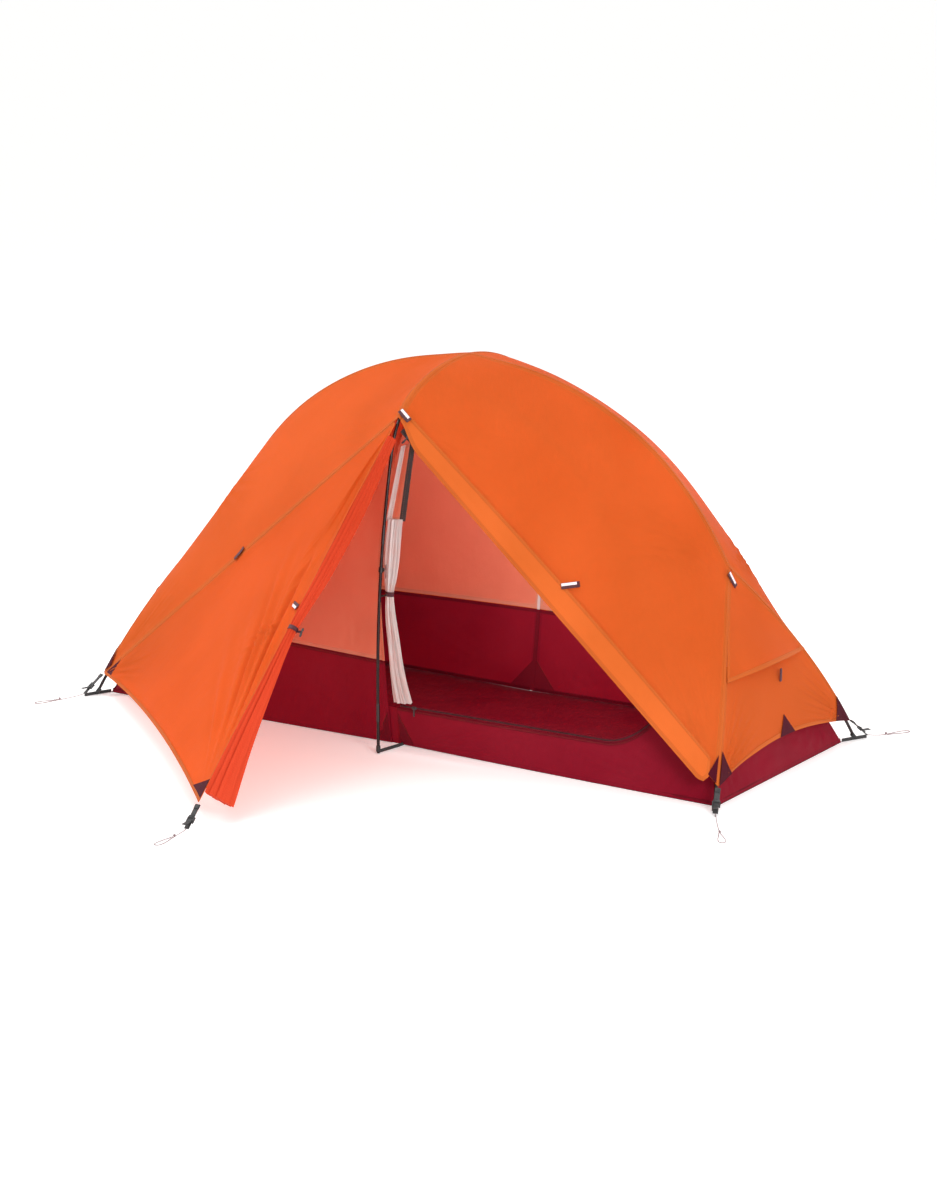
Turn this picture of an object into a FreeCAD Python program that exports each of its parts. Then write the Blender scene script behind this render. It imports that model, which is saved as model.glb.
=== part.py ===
"""A one-person tent, pitched, with its door rolled back.

A ridge pole runs the length of the tent and meets two legs in a hub at each end, and a hoop pole
crosses it in the middle.  An inner tent with a raised floor tub hangs inside the poles, and an
outer fly with a porch covers them.  Millimetres.  The origin is the centre of the floor's underside,
+X is the length of the tent, -Y is the side with the door, and +Z is up.
"""
import FreeCAD
import Part
import math
import os
import Sketcher

V = FreeCAD.Vector
UP = V(0, 0, 1)
doc = FreeCAD.newDocument("Tent")

# --------------------------------------------------------------------------- driving dimensions
SIZES = [
    ("floor_length", 2130, "floor, corner to corner along X"),
    ("floor_width", 760, "floor, corner to corner along Y"),
    ("floor_waist", 25, "how far each long side of the floor pulls in at its middle"),
    ("tub_height", 252, "height of the waterproof wall round the floor"),
    ("sill_height", 117, "height of the door sill"),
    ("cloth_thickness", 1.2, "thickness given to every sheet of cloth"),
    ("frame_offset", 12, "how far the poles stand right of the floor's centre"),
    ("pole_diameter", 9, "outer diameter of the pole tube"),
    ("pole_wall", 0.8, "wall of the pole tube"),
    ("ridge_peak", 1075, "height of the ridge pole's centre line"),
    ("ridge_crown_radius", 1020, "bend of the middle of the ridge pole"),
    ("ridge_crown_angle", 30, "half angle of the ridge pole's middle bend"),
    ("ridge_end_radius", 840, "bend of the ends of the ridge pole"),
    ("ridge_end_angle", 34.9, "angle of each end bend of the ridge pole"),
    ("hoop_peak", 1085, "height of the hoop pole's centre line"),
    ("hoop_crown_radius", 596, "bend of the top of the hoop pole"),
    ("hoop_crown_angle", 26, "half angle of the hoop's top bend"),
    ("hoop_shoulder_radius", 236, "bend of the hoop's shoulders"),
    ("hoop_shoulder_angle", 51, "angle of each shoulder"),
    ("hoop_side_radius", 2976, "bend of the hoop's sides"),
    ("hoop_side_angle", 13, "angle of each side of the hoop"),
    ("leg_foot_x", 1078, "foot of a leg, along X"),
    ("leg_foot_y", 420, "foot of a leg, along Y"),
    ("leg_bow", 32, "how far a leg bows away from the straight line"),
    ("foot_clearance", 4, "height of the centre of a leg's end over the ground"),
    ("hub_radius", 9, "core of a hub"),
    ("socket_radius", 7, "outside of a hub's sockets"),
    ("socket_length", 42, "length of a hub's sockets"),
    ("fit_clearance", 0.4, "gap between a piece and what it slides or turns on"),
    ("fly_lift", 10, "from a pole's centre line to the fly over it"),
    ("hem_height", 62, "height of the fly's corners"),
    ("porch_depth", 1274, "distance of the porch's tip from the ridge"),
    ("inner_drop", 40, "from the poles' centre lines to the inner tent"),
    ("strap_width", 15, "width of the corner webbing"),
    ("strap_thickness", 1.6, "thickness of the corner webbing"),
    ("buckle_width", 23, "width of a corner buckle"),
    ("buckle_length", 18, "length of a corner buckle"),
    ("buckle_thickness", 6, "thickness of a corner buckle"),
    ("cord_diameter", 2.2, "diameter of the pegging cords"),
    ("bead_radius", 2, "radius of a zip's row of teeth"),
    ("tape_width", 11, "width of a zip's tape"),
    ("slider_length", 16, "length of a zip slider"),
    ("slider_width", 10, "width and thickness of a zip slider"),
    ("pull_length", 26, "length of a zip pull"),
    ("toggle_length", 26, "length of a toggle"),
    ("toggle_radius", 3, "radius of a toggle"),
    ("clip_height", 14, "height of a pole clip"),
    ("clip_radius", 6.4, "outside radius of a pole clip"),
]
sheet = doc.addObject("Spreadsheet::Sheet", "Sizes")
for row, (alias, value, meaning) in enumerate(SIZES, 1):
    sheet.set(f"A{row}", meaning)
    sheet.set(f"B{row}", str(value))
    sheet.setAlias(f"B{row}", alias)
doc.recompute()


def size(alias):
    """A driving dimension, read back from the sheet."""
    return float(getattr(sheet, alias))


CLOTH = size("cloth_thickness")
FRAME_X = size("frame_offset")
FIT = size("fit_clearance")
SEWN_GAP = 2.5          # what two sheets leave free on each side of the seam they share
END_GAP = 14.0          # from a hub's centre to the end of a pole in its socket
sub_parts = []
pivots = {}             # where each moving piece turns or slides, for whoever writes its joints


def keep(item, label):
    """Name a finished sub-part and put it on the list of parts to write."""
    item.Label = label
    sub_parts.append(item)
    return item


def mix(start, end, share):
    """The point a given share of the way from start to end."""
    return start + (end - start) * share


def unit(vector):
    """A copy of a vector, one long."""
    result = V(vector)
    result.normalize()
    return result


def across(vector, axis):
    """The part of a vector that is square to an axis, one long."""
    return unit(vector - axis * vector.dot(axis))


def frame_at(origin, along_z, towards_x):
    """A placement whose Z runs along one vector and whose X leans towards another."""
    z_axis = unit(along_z)
    x_axis = across(towards_x, z_axis)
    rotation = FreeCAD.Rotation(x_axis, z_axis.cross(x_axis), z_axis, "ZXY")
    return FreeCAD.Placement(origin, rotation)


# --------------------------------------------------------------------------- primitives
def box(name, sizes, corner):
    """A Part box whose three sizes are expressions, with its low corner at a local point."""
    item = doc.addObject("Part::Box", name)
    for prop, expression in zip(("Length", "Width", "Height"), sizes):
        item.setExpression(prop, expression)
    item.Placement.Base = corner
    return item


def rod(name, radius, length, placement=None):
    """A Part cylinder whose radius and length are expressions."""
    item = doc.addObject("Part::Cylinder", name)
    item.setExpression("Radius", radius)
    item.setExpression("Height", length)
    if placement:
        item.Placement = placement
    return item


def joined(name, pieces):
    """One solid from several that touch."""
    item = doc.addObject("Part::MultiFuse", name)
    item.Shapes = pieces
    return item


def less(name, base, tool):
    """One solid with another taken out of it."""
    item = doc.addObject("Part::Cut", name)
    item.Base = base
    item.Tool = tool
    return item


# --------------------------------------------------------------------------- poles
def origin_plane(body, role):
    """One of a body's own origin planes."""
    return next(item for item in body.Origin.OriginFeatures if item.Role == role)


def sketch_on(body, name, role):
    """An empty sketch on one of a body's own origin planes."""
    sketch = body.newObject("Sketcher::SketchObject", name)
    sketch.AttachmentSupport = (origin_plane(body, role), [""])
    sketch.MapMode = "FlatFace"
    return sketch


def constrain(sketch, constraint, expression=None):
    """Add a constraint, and bind it to the sheet where it has an expression."""
    index = sketch.addConstraint(constraint)
    if expression:
        sketch.setExpression(f"Constraints[{index}]", expression)


def pole(label, steps, placement):
    """A tube along straight and bent steps, from the body's origin up Z and bending towards X.

    A step is ("line", length, expression) or ("bend", radius cell, angle cell), angles in degrees.
    """
    body = doc.addObject("PartDesign::Body", label + "_body")
    path = sketch_on(body, label + "_path", "XZ_Plane")
    point = V(0, 0, 0)
    heading = 0.0
    last = None
    for step in steps:
        if step[0] == "line":
            end = point + V(math.sin(heading), math.cos(heading), 0) * step[1]
            index = path.addGeometry(Part.LineSegment(point, end))
            begin_at, end_at = 1, 2
        else:
            radius = size(step[1])
            turn = math.radians(size(step[2]))
            centre = point + V(math.cos(heading), -math.sin(heading), 0) * radius
            start_angle = math.pi - heading
            circle = Part.Circle(centre, UP, radius)
            index = path.addGeometry(Part.ArcOfCircle(circle, start_angle - turn, start_angle))
            begin_at, end_at = 2, 1
            heading += turn
            end = centre + V(-math.cos(heading), math.sin(heading), 0) * radius
        if last is None:
            constrain(path, Sketcher.Constraint("Coincident", index, begin_at, -1, 1))
            if step[0] == "line":
                constrain(path, Sketcher.Constraint("Vertical", index))
            else:
                constrain(path, Sketcher.Constraint("PointOnObject", index, 3, -1))
        else:
            constrain(path, Sketcher.Constraint("Tangent", last[0], last[1], index, begin_at))
        if step[0] == "line":
            constrain(path, Sketcher.Constraint("Distance", index, step[1]), step[2])
        else:
            constrain(path, Sketcher.Constraint("Radius", index, radius), f"Sizes.{step[1]}")
            constrain(path, Sketcher.Constraint("Angle", index, turn), f"Sizes.{step[2]} * 1 deg")
        last = (index, end_at)
        point = end
    ring = sketch_on(body, label + "_ring", "XY_Plane")
    outer = size("pole_diameter") / 2
    bore = outer - size("pole_wall")
    for radius, expression in ((outer, "Sizes.pole_diameter / 2"),
                               (bore, "Sizes.pole_diameter / 2 - Sizes.pole_wall")):
        index = ring.addGeometry(Part.Circle(V(0, 0, 0), UP, radius))
        constrain(ring, Sketcher.Constraint("Coincident", index, 3, -1, 1))
        constrain(ring, Sketcher.Constraint("Radius", index, radius), expression)
    doc.recompute()
    tube = body.newObject("PartDesign::AdditivePipe", label + "_tube")
    tube.Profile = ring
    tube.Spine = (path, [])
    body.Placement = placement
    return keep(body, label)


def arch(arcs, peak, distance, lift):
    """Across and up from the middle of an arch, a distance down one side of it.

    The arcs are (radius, angle) from the peak outwards, and the arch runs on straight after them.
    The point stands off the arch by lift, outwards.
    """
    out = 0.0
    height = peak
    turn = 0.0
    for radius, angle in arcs:
        step = min(distance, radius * angle) / radius
        out += radius * (math.sin(turn + step) - math.sin(turn))
        height -= radius * (math.cos(turn) - math.cos(turn + step))
        turn += step
        distance -= radius * step
    out += distance * math.cos(turn)
    height -= distance * math.sin(turn)
    return out + lift * math.sin(turn), height + lift * math.cos(turn)


RIDGE_ARCS = [(size("ridge_crown_radius"), math.radians(size("ridge_crown_angle"))),
              (size("ridge_end_radius"), math.radians(size("ridge_end_angle")))]
HOOP_ARCS = [(size("hoop_crown_radius"), math.radians(size("hoop_crown_angle"))),
             (size("hoop_shoulder_radius"), math.radians(size("hoop_shoulder_angle"))),
             (size("hoop_side_radius"), math.radians(size("hoop_side_angle")))]
RIDGE_HALF = sum(radius * angle for radius, angle in RIDGE_ARCS)
RIDGE_SLOPE = sum(angle for _, angle in RIDGE_ARCS)
HOOP_BENT = sum(radius * angle for radius, angle in HOOP_ARCS)
HOOP_HALF_WIDTH, HOOP_STRAIGHT = arch(HOOP_ARCS, size("hoop_peak"), HOOP_BENT, 0)
HOOP_FOOT_GAP = 1.0     # the hoop's ends stop this far over the ground


def ridge_point(side, distance, lift):
    """A point over the ridge pole, side -1 to the left and +1 to the right."""
    out, height = arch(RIDGE_ARCS, size("ridge_peak"), distance, lift)
    return V(FRAME_X + side * out, 0, height)


def hoop_point(side, distance, lift):
    """A point over the hoop pole, side -1 at the door and +1 at the back."""
    out, height = arch(HOOP_ARCS, size("hoop_peak"), distance, lift)
    return V(FRAME_X, side * out, height)


def hub_axis(side):
    """The way the ridge pole points where it enters a hub."""
    return V(side * math.cos(RIDGE_SLOPE), 0, -math.sin(RIDGE_SLOPE))


def hub_outward(side):
    """Square to the ridge pole where it enters a hub, away from the tent."""
    return V(side * math.sin(RIDGE_SLOPE), 0, math.cos(RIDGE_SLOPE))


def hub_centre(side):
    """The centre of the left (-1) or right (+1) hub."""
    return ridge_point(side, RIDGE_HALF, 0) + hub_axis(side) * END_GAP


class Leg:
    """The centre line of one leg pole, from its hub to its foot, as an arc."""

    def __init__(self, side, back):
        self.foot = V(side * size("leg_foot_x"), back * size("leg_foot_y"), size("foot_clearance"))
        centre = hub_centre(side)
        self.top = centre + unit(self.foot - centre) * END_GAP
        self.chord = unit(self.top - self.foot)
        self.length = (self.top - self.foot).Length
        self.outward = across(V(side * 0.75, back * 0.55, 0.6), self.chord)
        bow = size("leg_bow")
        self.radius = (self.length ** 2 / 4 + bow ** 2) / (2 * bow)
        self.turn = 2 * math.asin(self.length / 2 / self.radius)

    def start_heading(self):
        """The way the pole points at its foot, upwards."""
        return self.chord * math.cos(self.turn / 2) + self.outward * math.sin(self.turn / 2)

    def end_heading(self):
        """The way the pole points at its hub, upwards."""
        return self.chord * math.cos(self.turn / 2) - self.outward * math.sin(self.turn / 2)

    def point(self, share, lift):
        """A point over the leg, a share of the way down from the hub."""
        bow = size("leg_bow") * 4 * share * (1 - share)
        return mix(self.top, self.foot, share) + self.outward * (bow + lift)


ENDS = {"right": 1, "left": -1}
SIDES = {"front": -1, "back": 1}
LEGS = {(end, side): Leg(ENDS[end], SIDES[side]) for end in ENDS for side in SIDES}


def build_ridge_pole():
    """The ridge pole, bent more at its ends than in its middle."""
    start = ridge_point(-1, RIDGE_HALF, 0)
    steps = [("bend", "ridge_end_radius", "ridge_end_angle"),
             ("bend", "ridge_crown_radius", "ridge_full_angle"),
             ("bend", "ridge_end_radius", "ridge_end_angle")]
    pole("ridge_pole", steps, frame_at(start, hub_axis(-1) * -1, hub_outward(-1) * -1))


def build_hoop_pole():
    """The hoop pole, from the ground at the door to the ground at the back."""
    straight = HOOP_STRAIGHT - HOOP_FOOT_GAP
    side = ("bend", "hoop_side_radius", "hoop_side_angle")
    shoulder = ("bend", "hoop_shoulder_radius", "hoop_shoulder_angle")
    foot = ("line", straight, "Sizes.hoop_straight")
    steps = [foot, side, shoulder, ("bend", "hoop_crown_radius", "hoop_full_angle"),
             shoulder, side, foot]
    start = V(FRAME_X, -HOOP_HALF_WIDTH, HOOP_FOOT_GAP)
    pole("hoop_pole", steps, frame_at(start, UP, V(0, 1, 0)))


def build_legs():
    """Four leg poles, all alike, from the hubs to the corners of the floor."""
    for (end, side), leg in LEGS.items():
        towards = leg.chord * math.sin(leg.turn / 2) - leg.outward * math.cos(leg.turn / 2)
        pole(f"leg_pole_{end}_{side}", [("bend", f"{end}_leg_radius", f"{end}_leg_turn")],
             frame_at(leg.foot, leg.start_heading(), towards))


def add_worked_out_cells():
    """Sizes that follow from the driving dimensions, kept on the sheet for the sketches."""
    worked_out = [("ridge_full_angle", 2 * size("ridge_crown_angle"), "whole middle bend of the ridge"),
                  ("hoop_full_angle", 2 * size("hoop_crown_angle"), "whole top bend of the hoop"),
                  ("hoop_straight", HOOP_STRAIGHT - HOOP_FOOT_GAP, "straight foot of the hoop")]
    for end in ENDS:
        leg = LEGS[end, "front"]
        worked_out.append((f"{end}_leg_radius", leg.radius, f"bend of the {end} legs"))
        worked_out.append((f"{end}_leg_turn", math.degrees(leg.turn), f"angle of the {end} legs"))
    for row, (alias, value, meaning) in enumerate(worked_out, len(SIZES) + 1):
        sheet.set(f"A{row}", meaning)
        sheet.set(f"B{row}", repr(value))
        sheet.setAlias(f"B{row}", alias)
    doc.recompute()


def build_hub(end):
    """A hub: a core with three sockets, one for the ridge pole and one for each leg."""
    side = ENDS[end]
    centre = hub_centre(side)
    core = doc.addObject("Part::Sphere", f"hub_{end}_core")
    core.setExpression("Radius", "Sizes.hub_radius")
    core.Placement.Base = centre
    axes = [(centre, hub_axis(side) * -1)]
    for name in SIDES:
        leg = LEGS[end, name]
        axes.append((leg.top + leg.end_heading() * END_GAP, leg.end_heading() * -1))
    solids = [core]
    bores = []
    for index, (start, axis) in enumerate(axes):
        place = frame_at(start, axis, V(0, 1, 0) if index == 0 else V(0, 0, 1))
        solids.append(rod(f"hub_{end}_socket_{index}", "Sizes.socket_radius", "Sizes.socket_length",
                          place))
        deep = frame_at(start + axis * (END_GAP - 1), axis, V(0, 1, 0) if index == 0 else V(0, 0, 1))
        bores.append(rod(f"hub_{end}_bore_{index}", "Sizes.pole_diameter / 2 + Sizes.fit_clearance",
                         "Sizes.socket_length", deep))
    keep(less(f"hub_{end}_cut", joined(f"hub_{end}_solid", solids), joined(f"hub_{end}_bores", bores)),
         f"hub_{end}")


def build_crossing_clip():
    """The moulded clip that holds the hoop pole over the ridge pole."""
    half = 13.0
    low = size("ridge_peak") - 7
    block = box("crossing_block", (f"{2 * half}", f"{2 * half}",
                                   "Sizes.hoop_peak - Sizes.ridge_peak + Sizes.pole_diameter"),
                V(FRAME_X - half, -half, low))
    reach = 40.0
    groove = "Sizes.pole_diameter / 2 + Sizes.fit_clearance"
    under = rod("crossing_groove_x", groove, f"{2 * reach}",
                frame_at(V(FRAME_X - reach, 0, size("ridge_peak")), V(1, 0, 0), UP))
    over = rod("crossing_groove_y", groove, f"{2 * reach}",
               frame_at(V(FRAME_X, -reach, size("hoop_peak")), V(0, 1, 0), UP))
    keep(less("crossing_cut", block, joined("crossing_grooves", [under, over])), "crossing_clip")


def build_hoop_clip(name, side):
    """A hook on the hoop pole with a short arm towards the inner tent."""
    down = HOOP_BENT - size("hoop_side_radius") * math.radians(6.5)
    on_pole = hoop_point(side, down, 0)
    tangent = unit(hoop_point(side, down - 5, 0) - hoop_point(side, down + 5, 0))
    bore_radius = "Sizes.pole_diameter / 2 + Sizes.fit_clearance"
    hook = rod(name + "_hook", "Sizes.clip_radius", "Sizes.clip_height")
    arm = box(name + "_arm", ("9", "6", "Sizes.clip_height - 4"), V(size("clip_radius") - 1.5, -3, 2))
    bore = rod(name + "_bore", bore_radius, "Sizes.clip_height + 2",
               FreeCAD.Placement(V(0, 0, -1), FreeCAD.Rotation()))
    mouth = box(name + "_mouth", ("Sizes.clip_radius", "6", "Sizes.clip_height + 2"),
                V(-size("clip_radius") - 1, -3, -1))
    item = less(name + "_cut", joined(name + "_solid", [hook, arm]),
                joined(name + "_space", [bore, mouth]))
    item.Placement = frame_at(on_pole - tangent * size("clip_height") / 2, tangent, V(0, -side, 0))
    pivots[name] = (on_pole, tangent)
    keep(item, name)


# --------------------------------------------------------------------------- sheets of cloth
def coons(bottom, top, left, right):
    """The sheet stretched between four edges, as a function of its two shares."""
    def surface(across_share, up_share):
        along = mix(bottom(across_share), top(across_share), up_share)
        upright = mix(left(up_share), right(up_share), across_share)
        corners = mix(mix(bottom(0), bottom(1), across_share),
                      mix(top(0), top(1), across_share), up_share)
        return along + upright - corners
    return surface


def share_at_height(surface, across_share, height):
    """How far up a sheet a height is reached, by halving."""
    low, high = 0.0, 1.0
    for _ in range(30):
        middle = (low + high) / 2
        if surface(across_share, middle).z < height:
            low = middle
        else:
            high = middle
    return (low + high) / 2


def patch(surface, across_range, low, high, columns=13, rows=7):
    """A grid of points on part of a sheet, from its low to its high edge at each share across."""
    grid = []
    for i in range(columns):
        share = across_range[0] + (across_range[1] - across_range[0]) * i / (columns - 1)
        bottom, top = low(share), high(share)
        grid.append([surface(share, bottom + (top - bottom) * j / (rows - 1)) for j in range(rows)])
    return grid


def level(share):
    """An edge at one share of the way up a sheet."""
    return lambda _: share


def grid_normals(grid, centre):
    """A unit normal at each grid point, away from a centre."""
    last_i, last_j = len(grid) - 1, len(grid[0]) - 1
    result = []
    for i in range(last_i + 1):
        row = []
        for j in range(last_j + 1):
            first = grid[min(i + 1, last_i)][j] - grid[max(i - 1, 0)][j]
            second = grid[i][min(j + 1, last_j)] - grid[i][max(j - 1, 0)]
            row.append(unit(first.cross(second)))
        result.append(row)
    middle = grid[last_i // 2][last_j // 2]
    if result[last_i // 2][last_j // 2].dot(middle - centre) < 0:
        result = [[normal * -1 for normal in row] for row in result]
    return result


INSIDE = V(FRAME_X, 0, 300)     # a point in the tent that every sheet faces away from


def cloth(label, grid, raise_by=0.0, thickness=CLOTH, centre=INSIDE):
    """A sheet of cloth as a thin closed solid: its outer face, its inner face and its four edges."""
    normals = grid_normals(grid, centre)
    faces = []
    for height in (raise_by, raise_by - thickness):
        points = [[point + normal * height for point, normal in zip(row, normal_row)]
                  for row, normal_row in zip(grid, normals)]
        surface = Part.BSplineSurface()
        surface.interpolate(points)
        faces.append(surface.toShape())
    for outer_edge, inner_edge in zip(faces[0].Edges, faces[1].Edges):
        faces.append(Part.makeRuledSurface(outer_edge, inner_edge))
    shell = Part.makeShell(faces)
    shell.sewShape()
    solid = Part.makeSolid(shell)
    if solid.Volume < 0:
        solid.reverse()
    item = doc.addObject("Part::Feature", label + "_sheet")
    item.Shape = solid
    return keep(item, label)


# --------------------------------------------------------------------------- the fly's edges
FLY_LIFT = size("fly_lift")
PORCH_FALL = math.radians(28.5)      # how far down a shoulder the porch's seams leave the hoop
HEM_RISE = 43.0                      # how far a hem is cut up between two corners
PEAK_SPREAD = 150.0                  # length over which the ridge of the fly rises to the hoop


def crest_point(side, share, lowest):
    """The fly over the hoop, from the peak down to a distance called lowest."""
    return hoop_point(side, lowest * share, FLY_LIFT - 2)


PEAK = crest_point(-1, 0, 0)
PORCH_TOP_DISTANCE = (size("hoop_crown_radius") * math.radians(size("hoop_crown_angle"))
                      + size("hoop_shoulder_radius") * PORCH_FALL)
PORCH_TOP = crest_point(-1, 1, PORCH_TOP_DISTANCE)
BACK_HEM_DISTANCE = HOOP_BENT + HOOP_STRAIGHT - 80
PORCH_TIP = V(FRAME_X, -size("porch_depth"), size("hem_height"))


def fly_hub(end):
    """The fly over a hub."""
    side = ENDS[end]
    return hub_centre(side) + hub_outward(side) * 18


def fly_ridge(end, share):
    """The fly over the ridge pole, from the peak to the hub."""
    side = ENDS[end]
    point = ridge_point(side, RIDGE_HALF * share, FLY_LIFT)
    near_peak = max(0.0, 1 - RIDGE_HALF * share / PEAK_SPREAD) ** 2
    peak_error = PEAK - ridge_point(side, 0, FLY_LIFT)
    hub_error = fly_hub(end) - ridge_point(side, RIDGE_HALF, FLY_LIFT)
    return point + peak_error * near_peak + hub_error * share ** 12


def hem_share(leg):
    """The share of a leg that the fly covers."""
    low, high = 0.5, 1.0
    for _ in range(30):
        middle = (low + high) / 2
        if leg.point(middle, FLY_LIFT).z > size("hem_height"):
            low = middle
        else:
            high = middle
    return low


def fly_leg(end, side, share):
    """The fly over a leg, from the hub down to the hem."""
    leg = LEGS[end, side]
    point = leg.point(hem_share(leg) * share, FLY_LIFT)
    return point + (fly_hub(end) - leg.point(0, FLY_LIFT)) * (1 - share) ** 6


def corner(end, side):
    """A corner of the fly's hem."""
    return fly_leg(end, side, 1)


def front_fly(end):
    """The fly between the ridge and the porch's seam."""
    return coons(lambda u: mix(PORCH_TOP, corner(end, "front"), u),
                 lambda u: fly_ridge(end, u),
                 lambda v: crest_point(-1, 1 - v, PORCH_TOP_DISTANCE),
                 lambda v: fly_leg(end, "front", 1 - v))


def back_fly(end):
    """The fly behind the ridge, down to its hem."""
    middle = crest_point(1, 1, BACK_HEM_DISTANCE)
    return coons(lambda u: mix(middle, corner(end, "back"), u) + V(0, -8, HEM_RISE) * 4 * u * (1 - u),
                 lambda u: fly_ridge(end, u),
                 lambda v: crest_point(1, 1 - v, BACK_HEM_DISTANCE),
                 lambda v: fly_leg(end, "back", 1 - v))


def end_fly(end):
    """The end of the fly, between its two legs, from the hem up to the hub."""
    inwards = V(-ENDS[end] * 15, 0, HEM_RISE)

    def surface(u, v):
        point = mix(fly_leg(end, "front", 1 - v), fly_leg(end, "back", 1 - v), u)
        return point + inwards * 4 * u * (1 - u) * (1 - v) ** 3
    return surface


def porch(u, v):
    """The left side of the porch, from its hem up to its top."""
    hem = mix(corner("left", "front"), PORCH_TIP, u) + V(0, 26, 22) * 4 * u * (1 - u)
    return mix(hem, PORCH_TOP, v)


def build_fly():
    """The fly: two front sheets, two back sheets, and at each end two that overlap at the vent."""
    seam = (0.005, 0.995)
    for end in ENDS:
        cloth(f"fly_front_{end}", patch(front_fly(end), seam, level(0.006), level(0.994)))
        cloth(f"fly_back_{end}", patch(back_fly(end), seam, level(0), level(0.996)))
    cloth("porch_panel", patch(porch, (0.005, 0.995), level(0), level(0.985)))


VENT_LOW, VENT_HIGH = 300.0, 338.0      # the hood comes down to one, the lower sheet up to the other
VENT_GAPE = 26.0                        # how far the hood stands out at its middle


def build_vents():
    """The ends of the fly: a lower sheet, and an upper sheet that hoods its top edge."""
    for end, side in ENDS.items():
        surface = end_fly(end)
        out = V(side, 0, 0.35)

        def hooded(u, v, surface=surface, out=out):
            low = share_at_height(surface, 0.5, VENT_LOW)
            fade = max(0.0, 1 - (v - low) / 0.35)
            return surface(u, v) + out * (3 + VENT_GAPE * math.sin(math.pi * u)) * fade ** 2

        def tucked(u, v, surface=surface, out=out):
            high = share_at_height(surface, 0.5, VENT_HIGH)
            return surface(u, v) - out * 6 * math.sin(math.pi * u) * max(0.0, 1 - (high - v) / 0.2) ** 2
        cloth(f"vent_hood_{end}",
              patch(hooded, (0.012, 0.988), lambda u, s=surface: share_at_height(s, 0.5, VENT_LOW),
                    level(0.93)))
        cloth(f"fly_end_{end}",
              patch(tucked, (0.006, 0.994), level(0),
                    lambda u, s=surface: share_at_height(s, 0.5, VENT_HIGH)))


# --------------------------------------------------------------------------- the inner tent
DROP = size("inner_drop")
INNER_HOOP = [(0, 1035), (150, 1004), (275, 930), (355, 800), (412, 530), (392, 250), (355, 0)]


def inner_hoop(side, share):
    """The inner tent in the plane of the hoop, from the floor (0) to the ridge (1)."""
    outline = Part.BSplineCurve()
    outline.interpolate([V(FRAME_X, side * out, height) for out, height in reversed(INNER_HOOP)])
    return outline.value(outline.FirstParameter
                         + (outline.LastParameter - outline.FirstParameter) * share)


def inner_hub(end):
    """The inner tent's corner under a hub."""
    return ridge_point(ENDS[end], RIDGE_HALF, -DROP)


def floor_corner(end, side):
    """A corner of the floor."""
    return V(ENDS[end] * (size("floor_length") / 2 - 4), SIDES[side] * (size("floor_width") / 2 - 4), 0)


def inner_leg(end, side, share):
    """The inner tent's edge inside a leg, from the floor (0) to the hub (1)."""
    outward = LEGS[end, side].outward
    straight = mix(floor_corner(end, side), inner_hub(end), share)
    return straight + outward * 18 * 4 * share * (1 - share)


def long_wall(end, side):
    """Half of a long wall of the inner tent, from the hoop to the end."""
    middle = inner_hoop(SIDES[side], 0)
    foot = floor_corner(end, side)
    return coons(lambda u: V(middle.x + (foot.x - middle.x) * u,
                             foot.y + (middle.y - foot.y) * (1 - u) ** 2, 0),
                 lambda u: ridge_point(ENDS[end], RIDGE_HALF * u, -DROP),
                 lambda v: inner_hoop(SIDES[side], v),
                 lambda v: inner_leg(end, side, v))


def end_wall(end):
    """The end wall of the inner tent."""
    return lambda u, v: mix(inner_leg(end, "front", v), inner_leg(end, "back", v), u)


FLOOR_GAP = 1.0         # between the floor sheet and the foot of each wall


def tub_foot(surface):
    """Where a wall starts, just over the floor."""
    return lambda u: share_at_height(surface, u, CLOTH + FLOOR_GAP)


def tub_top(surface):
    """Where the waterproof wall ends."""
    return lambda u: share_at_height(surface, u, size("tub_height") - 1)


def canopy_foot(surface):
    """Where the breathable wall starts."""
    return lambda u: share_at_height(surface, u, size("tub_height") + 1)


DOOR_TURN = 0.66        # share of the length at which the sill starts to rise
DOOR_END = 0.86         # share of the length at which the door ends


def door_low(surface):
    """The lower edge of the doorway: a straight sill that rises at its far end."""
    def edge(u):
        rise = min(1.0, max(0.0, (u - DOOR_TURN) / (DOOR_END - DOOR_TURN))) ** 2
        height = size("sill_height") + (size("tub_height") - 1 - size("sill_height")) * rise
        return share_at_height(surface, u, height)
    return edge


def door_high(surface):
    """The upper edge of the doorway, an arch under the ridge and the leg."""
    def edge(u):
        foot = canopy_foot(surface)(u)
        fall = min(1.0, u / DOOR_END)
        return foot + 0.006 + (0.86 - foot) * (1 - fall ** 4)
    return edge


def build_floor():
    """The floor: one flat sheet with its long sides pulled in, each on a smooth curve."""
    length = size("floor_length") / 2 - 4
    width = size("floor_width") / 2 - 6
    edges = []
    for side in (-1, 1):
        points = []
        for i in range(9):
            x = side * length * (i - 4) / 4
            reach = width - size("floor_waist") * (1 - abs(x) / length) ** 2
            points.append(V(x, side * -reach, 0))
        curve = Part.BSplineCurve()
        curve.interpolate(points)
        edges.append(curve.toShape())
        edges.append(Part.makeLine(V(side * length, -side * width, 0), V(side * length, side * width, 0)))
    item = doc.addObject("Part::Feature", "floor_sheet")
    item.Shape = Part.Face(Part.Wire(edges)).extrude(V(0, 0, CLOTH))
    keep(item, "floor")


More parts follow.
